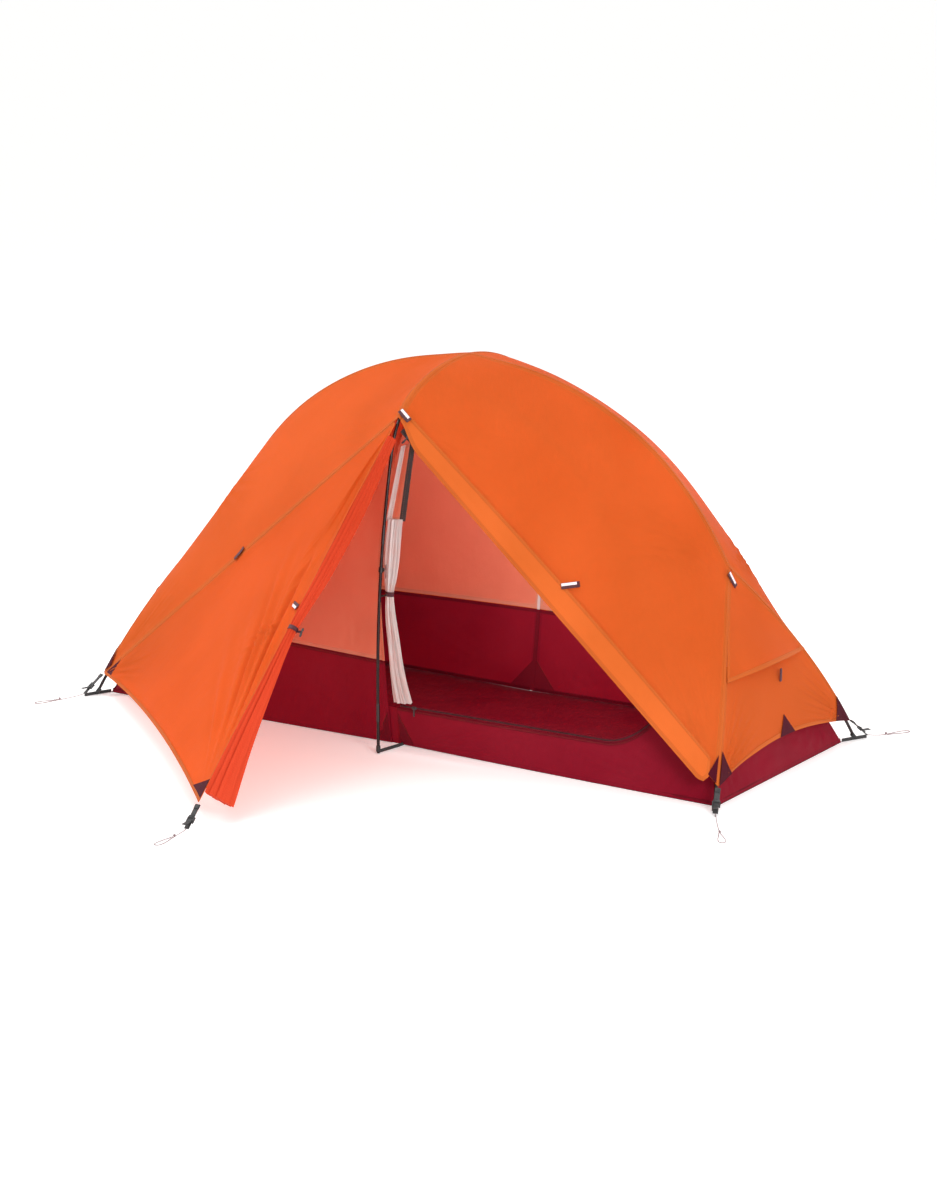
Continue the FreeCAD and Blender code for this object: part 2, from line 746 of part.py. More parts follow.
def build_inner_tent():
    """The tub's walls and the walls over them, with the doorway at the front right."""
    door_edge = 0.026                   # the doorway starts just left of the hoop's plane
    for end in ENDS:
        wall = end_wall(end)
        cloth(f"tub_end_{end}", patch(wall, (0.008, 0.992), tub_foot(wall), tub_top(wall), 7, 5))
        cloth(f"canopy_end_{end}", patch(wall, (0.008, 0.992), canopy_foot(wall), level(0.95), 7, 7))
        wall = long_wall(end, "back")
        cloth(f"canopy_back_{end}", patch(wall, (0.003, 0.99), canopy_foot(wall), level(0.993)))
    left_wall, right_wall = long_wall("left", "back"), long_wall("right", "back")
    left_half = patch(left_wall, (0, 0.992), tub_foot(left_wall), tub_top(left_wall), 13, 5)
    right_half = patch(right_wall, (0, 0.992), tub_foot(right_wall), tub_top(right_wall), 13, 5)
    cloth("tub_back", left_half[:0:-1] + right_half)
    wall = long_wall("left", "front")
    cloth("tub_front_left", patch(wall, (door_edge, 0.992), tub_foot(wall), tub_top(wall), 13, 5))
    cloth("canopy_front_left", patch(wall, (door_edge, 0.99), canopy_foot(wall), level(0.993)))
    wall = long_wall("right", "front")
    cloth("tub_front_right", patch(wall, (0.003, 0.992), tub_foot(wall), door_low(wall), 21, 5))
    cloth("canopy_front_right", patch(wall, (0.003, 0.99), door_high(wall), level(0.993), 21, 5))


# --------------------------------------------------------------------------- rolled doors
def bundle(label, sections):
    """A roll of cloth lofted through ellipses, each (centre, axis, wide direction, width, depth)."""
    wires = []
    for centre, axis, wide, width, depth in sections:
        place = frame_at(centre, axis, wide)
        ellipse = Part.Ellipse(V(0, 0, 0), max(width, depth) / 2, min(width, depth) / 2)
        edge = ellipse.toShape()
        edge.Placement = place
        wires.append(Part.Wire([edge]))
    item = doc.addObject("Part::Feature", label + "_loft")
    item.Shape = Part.makeLoft(wires, True, True)
    return keep(item, label)


FOLD_ACROSS = V(0.5, 0.86, 0)           # the way the folded porch door spreads from the porch's edge


def build_rolled_doors():
    """The porch door gathered along the porch's edge, and the inner door along the doorway."""
    edge = unit(PORCH_TIP - PORCH_TOP)
    wide = across(FOLD_ACROSS, edge)
    length = (PORCH_TIP - PORCH_TOP).Length
    porch_door = [(0.05, 26, 12), (0.25, 44, 18), (0.42, 40, 20), (0.56, 25, 19), (0.72, 44, 22),
                  (0.86, 66, 24), (0.985, 92, 22)]
    sections = []
    for share, width, depth in porch_door:
        centre = PORCH_TOP + edge * length * share + wide * (width / 2 + 7)
        sections.append((centre, edge, wide, width, depth))
    bundle("porch_door_rolled", sections)
    inner_door = [(V(50, -364, 858), 26, 20), (V(38, -380, 760), 34, 24), (V(28, -392, 670), 36, 26),
                  (V(18, -402, 560), 30, 24), (V(14, -406, 457), 22, 18), (V(24, -400, 300), 42, 28),
                  (V(36, -392, 190), 58, 32), (V(44, -384, 137), 66, 36)]
    sections = []
    for centre, width, depth in inner_door:
        sections.append((centre, V(0, 0, 1), V(1, 0, 0), width, depth))
    bundle("inner_door_rolled", sections)


# --------------------------------------------------------------------------- zips
def build_zip(name, start, end, to_seam, rest):
    """A zip's tape with its row of teeth, the slider that runs on it and the slider's pull.

    The row of teeth runs from start to end, the tape goes from it towards to_seam, and the slider
    rests some way along it with its pull hanging on the outside.
    """
    along = unit(end - start)
    up_tape = across(to_seam, along)
    through = up_tape.cross(along)
    outside = -1 if through.y > 0 else 1        # which way along its own Y the zip faces
    down = -1 if up_tape.z > 0 else 1           # which way along its own Z the pull hangs
    turned = FreeCAD.Rotation(along, through, up_tape, "XYZ")
    length = f"{(end - start).Length:.3f}"
    tape = box(name + "_band", (length, "Sizes.cloth_thickness", "Sizes.tape_width"),
               V(0, -CLOTH / 2, 0))
    bead = rod(name + "_bead", "Sizes.bead_radius", length, frame_at(V(0, 0, 0), V(1, 0, 0), UP))
    item = joined(name + "_tape_solid", [tape, bead])
    item.Placement = FreeCAD.Placement(start, turned)
    keep(item, name + "_tape")

    half = size("slider_width") / 2
    block = box(name + "_slider_block", ("Sizes.slider_length", "Sizes.slider_width",
                                         "Sizes.slider_width"), V(0, -half, -half))
    tunnel = rod(name + "_slider_tunnel", "Sizes.bead_radius + Sizes.fit_clearance",
                 "Sizes.slider_length + 2", frame_at(V(-1, 0, 0), V(1, 0, 0), UP))
    slit = box(name + "_slider_slit", ("Sizes.slider_length + 2",
                                       "Sizes.cloth_thickness + 2 * Sizes.fit_clearance",
                                       "Sizes.slider_width"), V(-1, -CLOTH / 2 - FIT, 0))
    slider = less(name + "_slider_cut", block, joined(name + "_slider_space", [tunnel, slit]))
    slider.Placement = FreeCAD.Placement(start + along * rest, turned)
    keep(slider, name + "_slider")

    hinge = V(size("slider_length") / 2, outside * (half + PULL_GAP), 0)
    low_corner = V(hinge.x - PULL_WIDTH / 2, hinge.y - PULL_THICKNESS / 2,
                   -PULL_THICKNESS / 2 if down > 0 else PULL_THICKNESS / 2 - size("pull_length"))
    pull = box(name + "_pull_tab", (str(PULL_WIDTH), str(PULL_THICKNESS), "Sizes.pull_length"),
               V(0, 0, 0))
    pull.Placement = FreeCAD.Placement(slider.Placement.multVec(low_corner), turned)
    keep(pull, name + "_pull")
    swing = (up_tape * down).cross(through * outside)
    pivots[name] = (along, slider.Placement.multVec(hinge), swing)


PULL_GAP, PULL_WIDTH, PULL_THICKNESS = 1.7, 6.0, 2.0
SILL_STAND = 3.0        # the door's zip stands this far out of the wall where that bulges most
SILL_RISE = 8.5         # and its teeth this far over the wall's edge


def build_zips():
    """The porch zip on the door's free edge, and the doorway's zip on its sill."""
    top, foot = PORCH_TOP, corner("right", "front")
    along = unit(foot - top)
    hang = across(V(0, -0.25, -1), along)
    drop = hang * (size("tape_width") + SEWN_GAP)
    build_zip("porch_zip", top + along * 34 + drop, foot - along * 40 + drop, hang * -1, 22)
    wall = long_wall("right", "front")
    sill = [wall(share, share_at_height(wall, share, size("sill_height")))
            for share in (0.02, 0.2, 0.35, 0.5, DOOR_TURN)]
    left, right = sill[0], sill[-1]
    bulge = max(mix(left, right, (point.x - left.x) / (right.x - left.x)).y - point.y
                for point in sill)
    raised = V(0, -bulge - SILL_STAND, SILL_RISE)
    left, right = left + raised, right + raised
    build_zip("door_zip", left, right, V(0, 0, -1), 40)


def build_storm_flap():
    """The flap that lies over the porch zip's seam."""
    grid = patch(front_fly("right"), (0.03, 0.965), level(0.008), level(0.078), 21, 3)
    cloth("storm_flap", grid, raise_by=1.6, thickness=1.0)


# --------------------------------------------------------------------------- corner webbing and cords
def anchor_lines():
    """Where each piece of webbing starts and ends, and the way its cord runs: name to three vectors."""
    lines = {}
    ways = {("right", "front"): V(0.556, -0.831, 0), ("right", "back"): V(0.51, 0.86, 0),
            ("left", "front"): V(-0.42, -0.907, 0), ("left", "back"): V(-0.556, 0.831, 0)}
    for (end, side), way in ways.items():
        top = corner(end, side) + way * 9 + V(0, 0, -4)
        leg_foot = LEGS[end, side].foot
        foot = V(leg_foot.x, leg_foot.y, 0) + way * 42 + V(0, 0, 9)
        lines[f"{end}_{side}"] = (top, foot, way)
    way = V(0.05, -0.9987, 0)
    lines["porch"] = (PORCH_TIP + way * 7 + V(0, 0, -5), PORCH_TIP + way * 58 + V(0, 0, -54), way)
    return lines


CORD_LENGTHS = {"right_front": 225, "right_back": 150, "left_front": 165, "left_back": 225, "porch": 135}

# A cord's route: along, sideways and up, from the webbing to the knot and round the pegging loop.
# The first points are from the webbing's end, and the loop's are from the cord's far end.
CORD_OUT = [(0, 0, 0), (14, 0.6, -3.2)]
CORD_LOOP = [(-86, 0, 1.6), (-66, 3.4, 1.6), (-40, 8.5, 1.6), (-17, 10.5, 1.6), (-4.5, 7.5, 1.6),
             (0, 0, 1.6), (-4.5, -7.5, 1.6), (-17, -10.5, 1.6), (-40, -8.5, 1.6), (-64, -4.6, 1.6),
             (-80, -3.6, 1.6)]


def cord_route(foot, way, length):
    """The points of one cord, in the tent's own frame."""
    sideways = V(-way.y, way.x, 0)
    route = [foot + way * along + sideways * aside + V(0, 0, up) for along, aside, up in CORD_OUT]
    middle = foot + way * (length * 0.3) + sideways * -0.8
    route.append(V(middle.x, middle.y, 2.2))
    for along, aside, up in CORD_LOOP:
        point = foot + way * (length + along) + sideways * aside
        route.append(V(point.x, point.y, up))
    return route


def rounded_path(route):
    """Straight runs joined by tangent arcs, and the smallest radius used."""
    edges = []
    start = route[0]
    smallest = 1e9
    for before, point, after in zip(route, route[1:], route[2:]):
        arriving, leaving = unit(point - before), unit(after - point)
        turn = arriving.getAngle(leaving)
        share = 0.45 * min((point - before).Length, (after - point).Length)
        radius = share / math.tan(turn / 2)
        smallest = min(smallest, radius)
        arc_start, arc_end = point - arriving * share, point + leaving * share
        centre = point + unit(leaving - arriving) * (radius / math.cos(turn / 2))
        middle = centre + unit(point - centre) * radius
        edges.append(Part.LineSegment(start, arc_start).toShape())
        edges.append(Part.Arc(arc_start, middle, arc_end).toShape())
        start = arc_end
    edges.append(Part.LineSegment(start, route[-1]).toShape())
    return Part.Wire(edges), smallest


def build_cord(name, foot, way):
    """One pegging cord: out to its knot and round the loop that a peg goes through."""
    route = cord_route(foot, way, CORD_LENGTHS[name])
    path, smallest = rounded_path(route)
    radius = size("cord_diameter") / 2
    ring = Part.Wire([Part.Circle(route[0], unit(route[1] - route[0]), radius).toShape()])
    tube = path.makePipeShell([ring], True, True)
    item = doc.addObject("Part::Feature", f"cord_{name}_tube")
    item.Shape = tube
    keep(item, f"cord_{name}")
    print(f"cord {name}: length {path.Length:.1f}, smallest radius {smallest:.1f},",
          f"volume over section times length {tube.Volume / (math.pi * radius ** 2 * path.Length):.4f}")


def build_strap(name, top, foot, way):
    """Corner webbing from the fly's hem to the ground, and the buckle that tightens it."""
    along = unit(foot - top)
    sideways = V(-way.y, way.x, 0)
    length = (foot - top).Length
    place = frame_at(top, along, sideways)
    band = box(f"strap_{name}_band", ("Sizes.strap_width", "Sizes.strap_thickness", f"{length:.3f}"),
               V(0, 0, 0))
    band.Placement = FreeCAD.Placement(
        place.multVec(V(-size("strap_width") / 2, -size("strap_thickness") / 2, 0)), place.Rotation)
    keep(band, f"strap_{name}")
    wide, thick, long = size("buckle_width"), size("buckle_thickness"), size("buckle_length")
    block = box(f"buckle_{name}_block", ("Sizes.buckle_width", "Sizes.buckle_thickness",
                                         "Sizes.buckle_length"), V(-wide / 2, -thick / 2, 0))
    slot = box(f"buckle_{name}_slot", ("Sizes.strap_width + 2 * Sizes.fit_clearance",
                                       "Sizes.strap_thickness + 2 * Sizes.fit_clearance",
                                       "Sizes.buckle_length + 2"),
               V(-size("strap_width") / 2 - FIT, -size("strap_thickness") / 2 - FIT, -1))
    buckle = less(f"buckle_{name}_cut", block, slot)
    buckle.Placement = FreeCAD.Placement(place.multVec(V(0, 0, length * 0.62 - long / 2)),
                                         place.Rotation)
    keep(buckle, f"buckle_{name}")
    pivots[f"buckle_{name}"] = (along,)


def build_anchors():
    """The webbing, buckle and cord at each corner and at the porch's tip."""
    for name, (top, foot, way) in anchor_lines().items():
        build_strap(name, top, foot, way)
        build_cord(name, foot + unit(foot - top) * 0.2, way)


# --------------------------------------------------------------------------- small moving pieces
def build_vent_strut(end):
    """The stiff tab that props a vent's hood open, hinged at its upper end."""
    side = ENDS[end]
    surface = end_fly(end)
    share = share_at_height(surface, 0.6, VENT_LOW - 14)
    top = surface(0.6, share) + V(side * 17, 0, 0)
    item = box(f"vent_strut_{end}_tab", ("2.2", "11", "38"), V(0, 0, 0))
    item.Placement = frame_at(top + V(-1.1, -5.5, -38), UP, V(1, 0, 0))
    keep(item, f"vent_strut_{end}")
    pivots[f"vent_strut_{end}"] = (top, V(0, -side, 0))


def build_toggle(name, centre, axis):
    """A toggle: a short bar on a loop of cord."""
    half = size("toggle_length") / 2
    item = rod(name + "_bar", "Sizes.toggle_radius", "Sizes.toggle_length",
               frame_at(centre - unit(axis) * half, axis, V(0, 1, 0)))
    keep(item, name)
    pivots[name] = (centre, across(V(0, -1, 0), unit(axis)))


def build_small_pieces():
    """Clips, struts and toggles."""
    build_crossing_clip()
    build_hoop_clip("hoop_clip_front", -1)
    build_hoop_clip("hoop_clip_back", 1)
    for end in ENDS:
        build_vent_strut(end)
    edge = unit(PORCH_TIP - PORCH_TOP)
    tie = mix(PORCH_TOP, PORCH_TIP, 0.56) + across(FOLD_ACROSS, edge) * 19
    build_toggle("porch_toggle", tie + V(25, -8, 0), V(0.1, 0.5, 0.86))
    build_toggle("door_toggle", V(14, -435, 457), V(0.95, 0, 0.3))


# --------------------------------------------------------------------------- the whole tent
def check_and_write():
    """Stop on any object that failed, then write each sub-part to its own file."""
    doc.recompute()
    for item in doc.Objects:
        if "Invalid" in item.State or "Error" in item.State:
            raise RuntimeError(f"{item.Name} failed: {item.State}")
    os.makedirs("parts", exist_ok=True)
    for item in sub_parts:
        shape = item.Shape
        if shape.isNull() or not shape.isValid() or len(shape.Solids) != 1:
            raise RuntimeError(f"{item.Label} is not one valid solid: {len(shape.Solids)} solids")
        if shape.BoundBox.ZMin < -0.01:
            raise RuntimeError(f"{item.Label} reaches under the ground: {shape.BoundBox.ZMin}")
        shape.exportStep(f"parts/{item.Label}.step")
    volume = sum(item.Shape.Volume for item in sub_parts)
    print(len(sub_parts), "sub-parts,", f"{volume / 1e6:.2f} litres")


add_worked_out_cells()
build_ridge_pole()
build_hoop_pole()
build_legs()
for hub_end in ENDS:
    build_hub(hub_end)
build_fly()
build_vents()
build_floor()
build_inner_tent()
build_rolled_doors()
build_zips()
build_storm_flap()
build_anchors()
build_small_pieces()
check_and_write()
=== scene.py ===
"""A one-person tent, pitched, with its door rolled back.

The poles, hubs and clips of the frame model keep their shapes and get their finishes here.  The fly,
the inner tent, the webbing, the zips and the cords are made here as sewn cloth and moulded pieces, in
metres, in the frame's own axes: +X is the tent's length, -Y the side with the door and +Z is up.
"""

import functools
import math

import bmesh
import bpy
import numpy as np
from mathutils import Matrix, Vector, noise


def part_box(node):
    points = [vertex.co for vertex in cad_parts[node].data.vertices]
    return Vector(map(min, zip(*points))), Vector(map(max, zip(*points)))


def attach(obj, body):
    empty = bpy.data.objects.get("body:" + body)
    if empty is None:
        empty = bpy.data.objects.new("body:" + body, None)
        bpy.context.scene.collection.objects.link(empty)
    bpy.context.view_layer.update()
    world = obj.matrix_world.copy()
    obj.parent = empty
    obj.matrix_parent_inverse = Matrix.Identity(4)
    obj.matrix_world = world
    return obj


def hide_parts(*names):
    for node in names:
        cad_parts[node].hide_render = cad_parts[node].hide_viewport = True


bl_info = {
    "name": "One-person tent",
    "version": (1, 0, 0),
    "blender": (4, 5, 0),
    "location": "3D View > Sidebar > Tent",
    "description": "Builds a pitched one-person tent around its frame model",
    "category": "Add Mesh",
}

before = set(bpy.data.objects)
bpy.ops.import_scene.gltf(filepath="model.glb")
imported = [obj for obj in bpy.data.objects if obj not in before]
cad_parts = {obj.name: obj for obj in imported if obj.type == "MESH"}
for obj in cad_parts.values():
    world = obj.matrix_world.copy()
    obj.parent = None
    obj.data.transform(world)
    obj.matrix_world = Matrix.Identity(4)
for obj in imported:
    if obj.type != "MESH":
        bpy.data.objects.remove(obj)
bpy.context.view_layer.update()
UP = Vector((0, 0, 1))
BODY = "tent"

# --------------------------------------------------------------------------- the tent's plan
POLE_RADIUS = 0.0045
HOOP_LOW, HOOP_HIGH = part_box("hoop_pole")
FRAME_X = (HOOP_LOW.x + HOOP_HIGH.x) / 2
HOOP_PEAK = HOOP_HIGH.z - POLE_RADIUS
RIDGE_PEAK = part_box("ridge_pole")[1].z - POLE_RADIUS
FLOOR_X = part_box("floor")[1].x
FLOOR_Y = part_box("floor")[1].y + 0.002
FLOOR_WAIST = 0.025
RIDGE_ARCS = [(1.020, math.radians(30)), (0.840, math.radians(34.9))]
HOOP_ARCS = [(0.596, math.radians(26)), (0.236, math.radians(51)), (2.976, math.radians(13))]
LEG_FOOT = (1.078, 0.420, 0.004)
LEG_BOW = 0.032
END_GAP = 0.014                         # from a hub's centre to the end of a pole in its socket
FLY_LIFT = 0.010                        # from a pole's centre line to the fly over it
HEM_HEIGHT = 0.062                      # height of the fly's corners
PORCH_DEPTH = 1.274                     # from the ridge to the porch's tip
PORCH_FALL = math.radians(28.5)         # how far down a shoulder the porch's seams leave the hoop
HEM_RISE = 0.043
INNER_DROP = 0.040
TUB_HEIGHT = 0.252
SILL_HEIGHT = 0.117
VENT_LOW, VENT_HIGH, VENT_GAPE = 0.300, 0.338, 0.026
ENDS = {"right": 1, "left": -1}
SIDES = {"front": -1, "back": 1}
INSIDE = Vector((FRAME_X, 0, 0.3))      # a point that every sheet of the tent faces away from


def mix(start, end, share):
    """The point a given share of the way from start to end."""
    return start + (end - start) * share


def across(vector, axis):
    """The part of a vector that is square to an axis, one long."""
    return (vector - axis * vector.dot(axis)).normalized()


def halving(test, low=0.0, high=1.0):
    """Where a test turns from true to false, between two numbers."""
    for _ in range(26):
        middle = (low + high) / 2
        if test(middle):
            low = middle
        else:
            high = middle
    return (low + high) / 2


def arch(arcs, peak, distance, lift):
    """Across and up from the middle of an arch, a distance down one side of it."""
    out, height, turn = 0.0, peak, 0.0
    for radius, angle in arcs:
        step = min(distance, radius * angle) / radius
        out += radius * (math.sin(turn + step) - math.sin(turn))
        height -= radius * (math.cos(turn) - math.cos(turn + step))
        turn += step
        distance -= radius * step
    out += distance * math.cos(turn)
    height -= distance * math.sin(turn)
    return out + lift * math.sin(turn), height + lift * math.cos(turn)


RIDGE_HALF = sum(radius * angle for radius, angle in RIDGE_ARCS)
RIDGE_SLOPE = sum(angle for _, angle in RIDGE_ARCS)
HOOP_BENT = sum(radius * angle for radius, angle in HOOP_ARCS)
HOOP_HALF_WIDTH, HOOP_STRAIGHT = arch(HOOP_ARCS, HOOP_PEAK, HOOP_BENT, 0)


def ridge_point(side, distance, lift):
    """A point over the ridge pole, side -1 to the left and +1 to the right."""
    out, height = arch(RIDGE_ARCS, RIDGE_PEAK, distance, lift)
    return Vector((FRAME_X + side * out, 0, height))


def hoop_point(side, distance, lift):
    """A point over the hoop pole, side -1 at the door and +1 at the back."""
    out, height = arch(HOOP_ARCS, HOOP_PEAK, distance, lift)
    return Vector((FRAME_X, side * out, height))


def hub_outward(side):
    """Square to the ridge pole where it enters a hub, away from the tent."""
    return Vector((side * math.sin(RIDGE_SLOPE), 0, math.cos(RIDGE_SLOPE)))


def hub_centre(side):
    """The centre of the left (-1) or right (+1) hub."""
    axis = Vector((side * math.cos(RIDGE_SLOPE), 0, -math.sin(RIDGE_SLOPE)))
    return ridge_point(side, RIDGE_HALF, 0) + axis * END_GAP


class Leg:
    """The centre line of one leg pole, from its hub to its foot."""

    def __init__(self, side, back):
        self.foot = Vector((side * LEG_FOOT[0], back * LEG_FOOT[1], LEG_FOOT[2]))
        centre = hub_centre(side)
        self.top = centre + (self.foot - centre).normalized() * END_GAP
        chord = (self.top - self.foot).normalized()
        self.outward = across(Vector((side * 0.75, back * 0.55, 0.6)), chord)

    def point(self, share, lift):
        """A point over the leg, a share of the way down from the hub."""
        return mix(self.top, self.foot, share) + self.outward * (LEG_BOW * 4 * share * (1 - share) + lift)


LEGS = {(end, side): Leg(ENDS[end], SIDES[side]) for end in ENDS for side in SIDES}


def coons(bottom, top, left, right):
    """The sheet stretched between four edges, as a function of its two shares."""
    bottom, top, left, right = (functools.cache(edge) for edge in (bottom, top, left, right))

    def surface(u, v):
        along = mix(bottom(u), top(u), v)
        upright = mix(left(v), right(v), u)
        corners = mix(mix(bottom(0), bottom(1), u), mix(top(0), top(1), u), v)
        return along + upright - corners
    return surface


def share_at_height(surface, u, height):
    """How far up a sheet a height is reached."""
    return halving(lambda v: surface(u, v).z < height)


# --------------------------------------------------------------------------- the fly's surfaces
def crest_point(side, share, lowest):
    """The fly over the hoop, from the peak down to a distance called lowest."""
    return hoop_point(side, lowest * share, FLY_LIFT - 0.002)


PEAK = crest_point(-1, 0, 0)
PORCH_TOP_DISTANCE = HOOP_ARCS[0][0] * HOOP_ARCS[0][1] + HOOP_ARCS[1][0] * PORCH_FALL
PORCH_TOP = crest_point(-1, 1, PORCH_TOP_DISTANCE)
BACK_HEM_DISTANCE = HOOP_BENT + HOOP_STRAIGHT - 0.080
PORCH_TIP = Vector((FRAME_X, -PORCH_DEPTH, HEM_HEIGHT))
PEAK_SPREAD = 0.150                     # length over which the fly's ridge rises to the hoop


def fly_hub(end):
    """The fly over a hub."""
    return hub_centre(ENDS[end]) + hub_outward(ENDS[end]) * 0.018


def fly_ridge(end, share):
    """The fly over the ridge pole, from the peak to the hub."""
    side = ENDS[end]
    near_peak = max(0.0, 1 - RIDGE_HALF * share / PEAK_SPREAD) ** 2
    peak_error = PEAK - ridge_point(side, 0, FLY_LIFT)
    hub_error = fly_hub(end) - ridge_point(side, RIDGE_HALF, FLY_LIFT)
    return (ridge_point(side, RIDGE_HALF * share, FLY_LIFT) + peak_error * near_peak
            + hub_error * share ** 12)


@functools.cache
def hem_share(end, side):
    """The share of a leg that the fly covers."""
    return halving(lambda s: LEGS[end, side].point(s, FLY_LIFT).z > HEM_HEIGHT, 0.5)


def fly_leg(end, side, share):
    """The fly over a leg, from the hub down to the hem."""
    leg = LEGS[end, side]
    point = leg.point(hem_share(end, side) * share, FLY_LIFT)
    return point + (fly_hub(end) - leg.point(0, FLY_LIFT)) * (1 - share) ** 6


def corner(end, side):
    """A corner of the fly's hem."""
    return fly_leg(end, side, 1)


@functools.cache
def front_fly(end):
    """The fly between the ridge and the porch's seam."""
    return coons(lambda u: mix(PORCH_TOP, corner(end, "front"), u),
                 lambda u: fly_ridge(end, u),
                 lambda v: crest_point(-1, 1 - v, PORCH_TOP_DISTANCE),
                 lambda v: fly_leg(end, "front", 1 - v))


@functools.cache
def back_fly(end):
    """The fly behind the ridge, down to its hem."""
    middle = crest_point(1, 1, BACK_HEM_DISTANCE)
    rise = Vector((0, -0.008, HEM_RISE))
    return coons(lambda u: mix(middle, corner(end, "back"), u) + rise * 4 * u * (1 - u),
                 lambda u: fly_ridge(end, u),
                 lambda v: crest_point(1, 1 - v, BACK_HEM_DISTANCE),
                 lambda v: fly_leg(end, "back", 1 - v))


@functools.cache
def end_fly(end):
    """The end of the fly, between its two legs, from the hem up to the hub."""
    inwards = Vector((-ENDS[end] * 0.015, 0, HEM_RISE))

    def surface(u, v):
        point = mix(fly_leg(end, "front", 1 - v), fly_leg(end, "back", 1 - v), u)
        return point + inwards * 4 * u * (1 - u) * (1 - v) ** 3
    return surface


def porch(u, v):
    """The left side of the porch, from its hem up to its top."""
    hem = mix(corner("left", "front"), PORCH_TIP, u) + Vector((0, 0.026, 0.022)) * 4 * u * (1 - u)
    return mix(hem, PORCH_TOP, v)


# --------------------------------------------------------------------------- the inner tent's surfaces
INNER_HOOP = [(0, 0.355), (0.250, 0.392), (0.530, 0.412), (0.800, 0.355), (0.930, 0.275),
              (1.004, 0.150), (1.035, 0)]       # height and half width of the inner tent at the hoop


def smooth_through(points):
    """A smooth line through points, as a function of its share, straightened by chord length."""
    points = [Vector(point) for point in points]
    knots = [0.0]
    for start, end in zip(points, points[1:]):
        knots.append(knots[-1] + (end - start).length)
    slopes = [(b - a) / (q - p) for a, b, p, q in zip(points, points[1:], knots, knots[1:])]
    inner = []
    for before, after, p, q, r in zip(slopes, slopes[1:], knots, knots[1:], knots[2:]):
        inner.append((before * (r - q) + after * (q - p)) / (r - p))
    tangents = [slopes[0] * 2 - inner[0]] + inner + [slopes[-1] * 2 - inner[-1]]

    def line(share):
        at = min(max(share, 0.0), 1.0) * knots[-1]
        index = min(sum(at >= knot for knot in knots[1:]), len(points) - 2)
        span = knots[index + 1] - knots[index]
        t = (at - knots[index]) / span
        return (points[index] * (2 * t ** 3 - 3 * t ** 2 + 1)
                + tangents[index] * span * (t ** 3 - 2 * t ** 2 + t)
                + points[index + 1] * (3 * t ** 2 - 2 * t ** 3)
                + tangents[index + 1] * span * (t ** 3 - t ** 2))
    return line


INNER_OUTLINE = smooth_through([(out, height, 0) for height, out in INNER_HOOP])


def inner_hoop(side, share):
    """The inner tent in the plane of the hoop, from the floor (0) to the ridge (1)."""
    point = INNER_OUTLINE(share)
    return Vector((FRAME_X, side * point.x, point.y))


def inner_leg(end, side, share):
    """The inner tent's edge inside a leg, from the floor (0) to the hub (1)."""
    foot = Vector((ENDS[end] * FLOOR_X, SIDES[side] * FLOOR_Y, 0))
    straight = mix(foot, ridge_point(ENDS[end], RIDGE_HALF, -INNER_DROP), share)
    return straight + LEGS[end, side].outward * 0.018 * 4 * share * (1 - share)


@functools.cache
def long_wall(end, side):
    """Half of a long wall of the inner tent, from the hoop to the end."""
    middle = inner_hoop(SIDES[side], 0)
    foot = Vector((ENDS[end] * FLOOR_X, SIDES[side] * FLOOR_Y, 0))
    return coons(lambda u: Vector((middle.x + (foot.x - middle.x) * u,
                                   foot.y + (middle.y - foot.y) * (1 - u) ** 2, 0)),
                 lambda u: ridge_point(ENDS[end], RIDGE_HALF * u, -INNER_DROP),
                 lambda v: inner_hoop(SIDES[side], v),
                 lambda v: inner_leg(end, side, v))


@functools.cache
def end_wall(end):
    """The end wall of the inner tent."""
    return lambda u, v: mix(inner_leg(end, "front", v), inner_leg(end, "back", v), u)


DOOR_TURN, DOOR_END = 0.66, 0.86        # shares of the length where the sill rises and the door ends


def at_height(surface, height):
    """An edge at one height on a sheet."""
    return functools.cache(lambda u: share_at_height(surface, u, height))


def door_low(surface):
    """The lower edge of the doorway: a straight sill that rises at its far end."""
    def edge(u):
        rise = min(1.0, max(0.0, (u - DOOR_TURN) / (DOOR_END - DOOR_TURN))) ** 2
        return share_at_height(surface, u, SILL_HEIGHT + (TUB_HEIGHT - 0.001 - SILL_HEIGHT) * rise)
    return functools.cache(edge)


def door_high(surface):
    """The upper edge of the doorway, an arch under the ridge and the leg."""
    foot = at_height(surface, TUB_HEIGHT + 0.001)
    return lambda u: foot(u) + 0.006 + (0.86 - foot(u)) * (1 - min(1.0, u / DOOR_END) ** 4)


def level(share):
    """An edge at one share of the way up a sheet."""
    return lambda _: share


# --------------------------------------------------------------------------- sheets of cloth
def unit_rows(vectors):
    """Vectors in an array, each made one long."""
    return vectors / np.maximum(np.linalg.norm(vectors, axis=-1, keepdims=True), 1e-12)


def smooth_step(values, low, high):
    """0 below low, 1 above high and smooth between."""
    t = np.clip((values - low) / (high - low), 0, 1)
    return t * t * (3 - 2 * t)


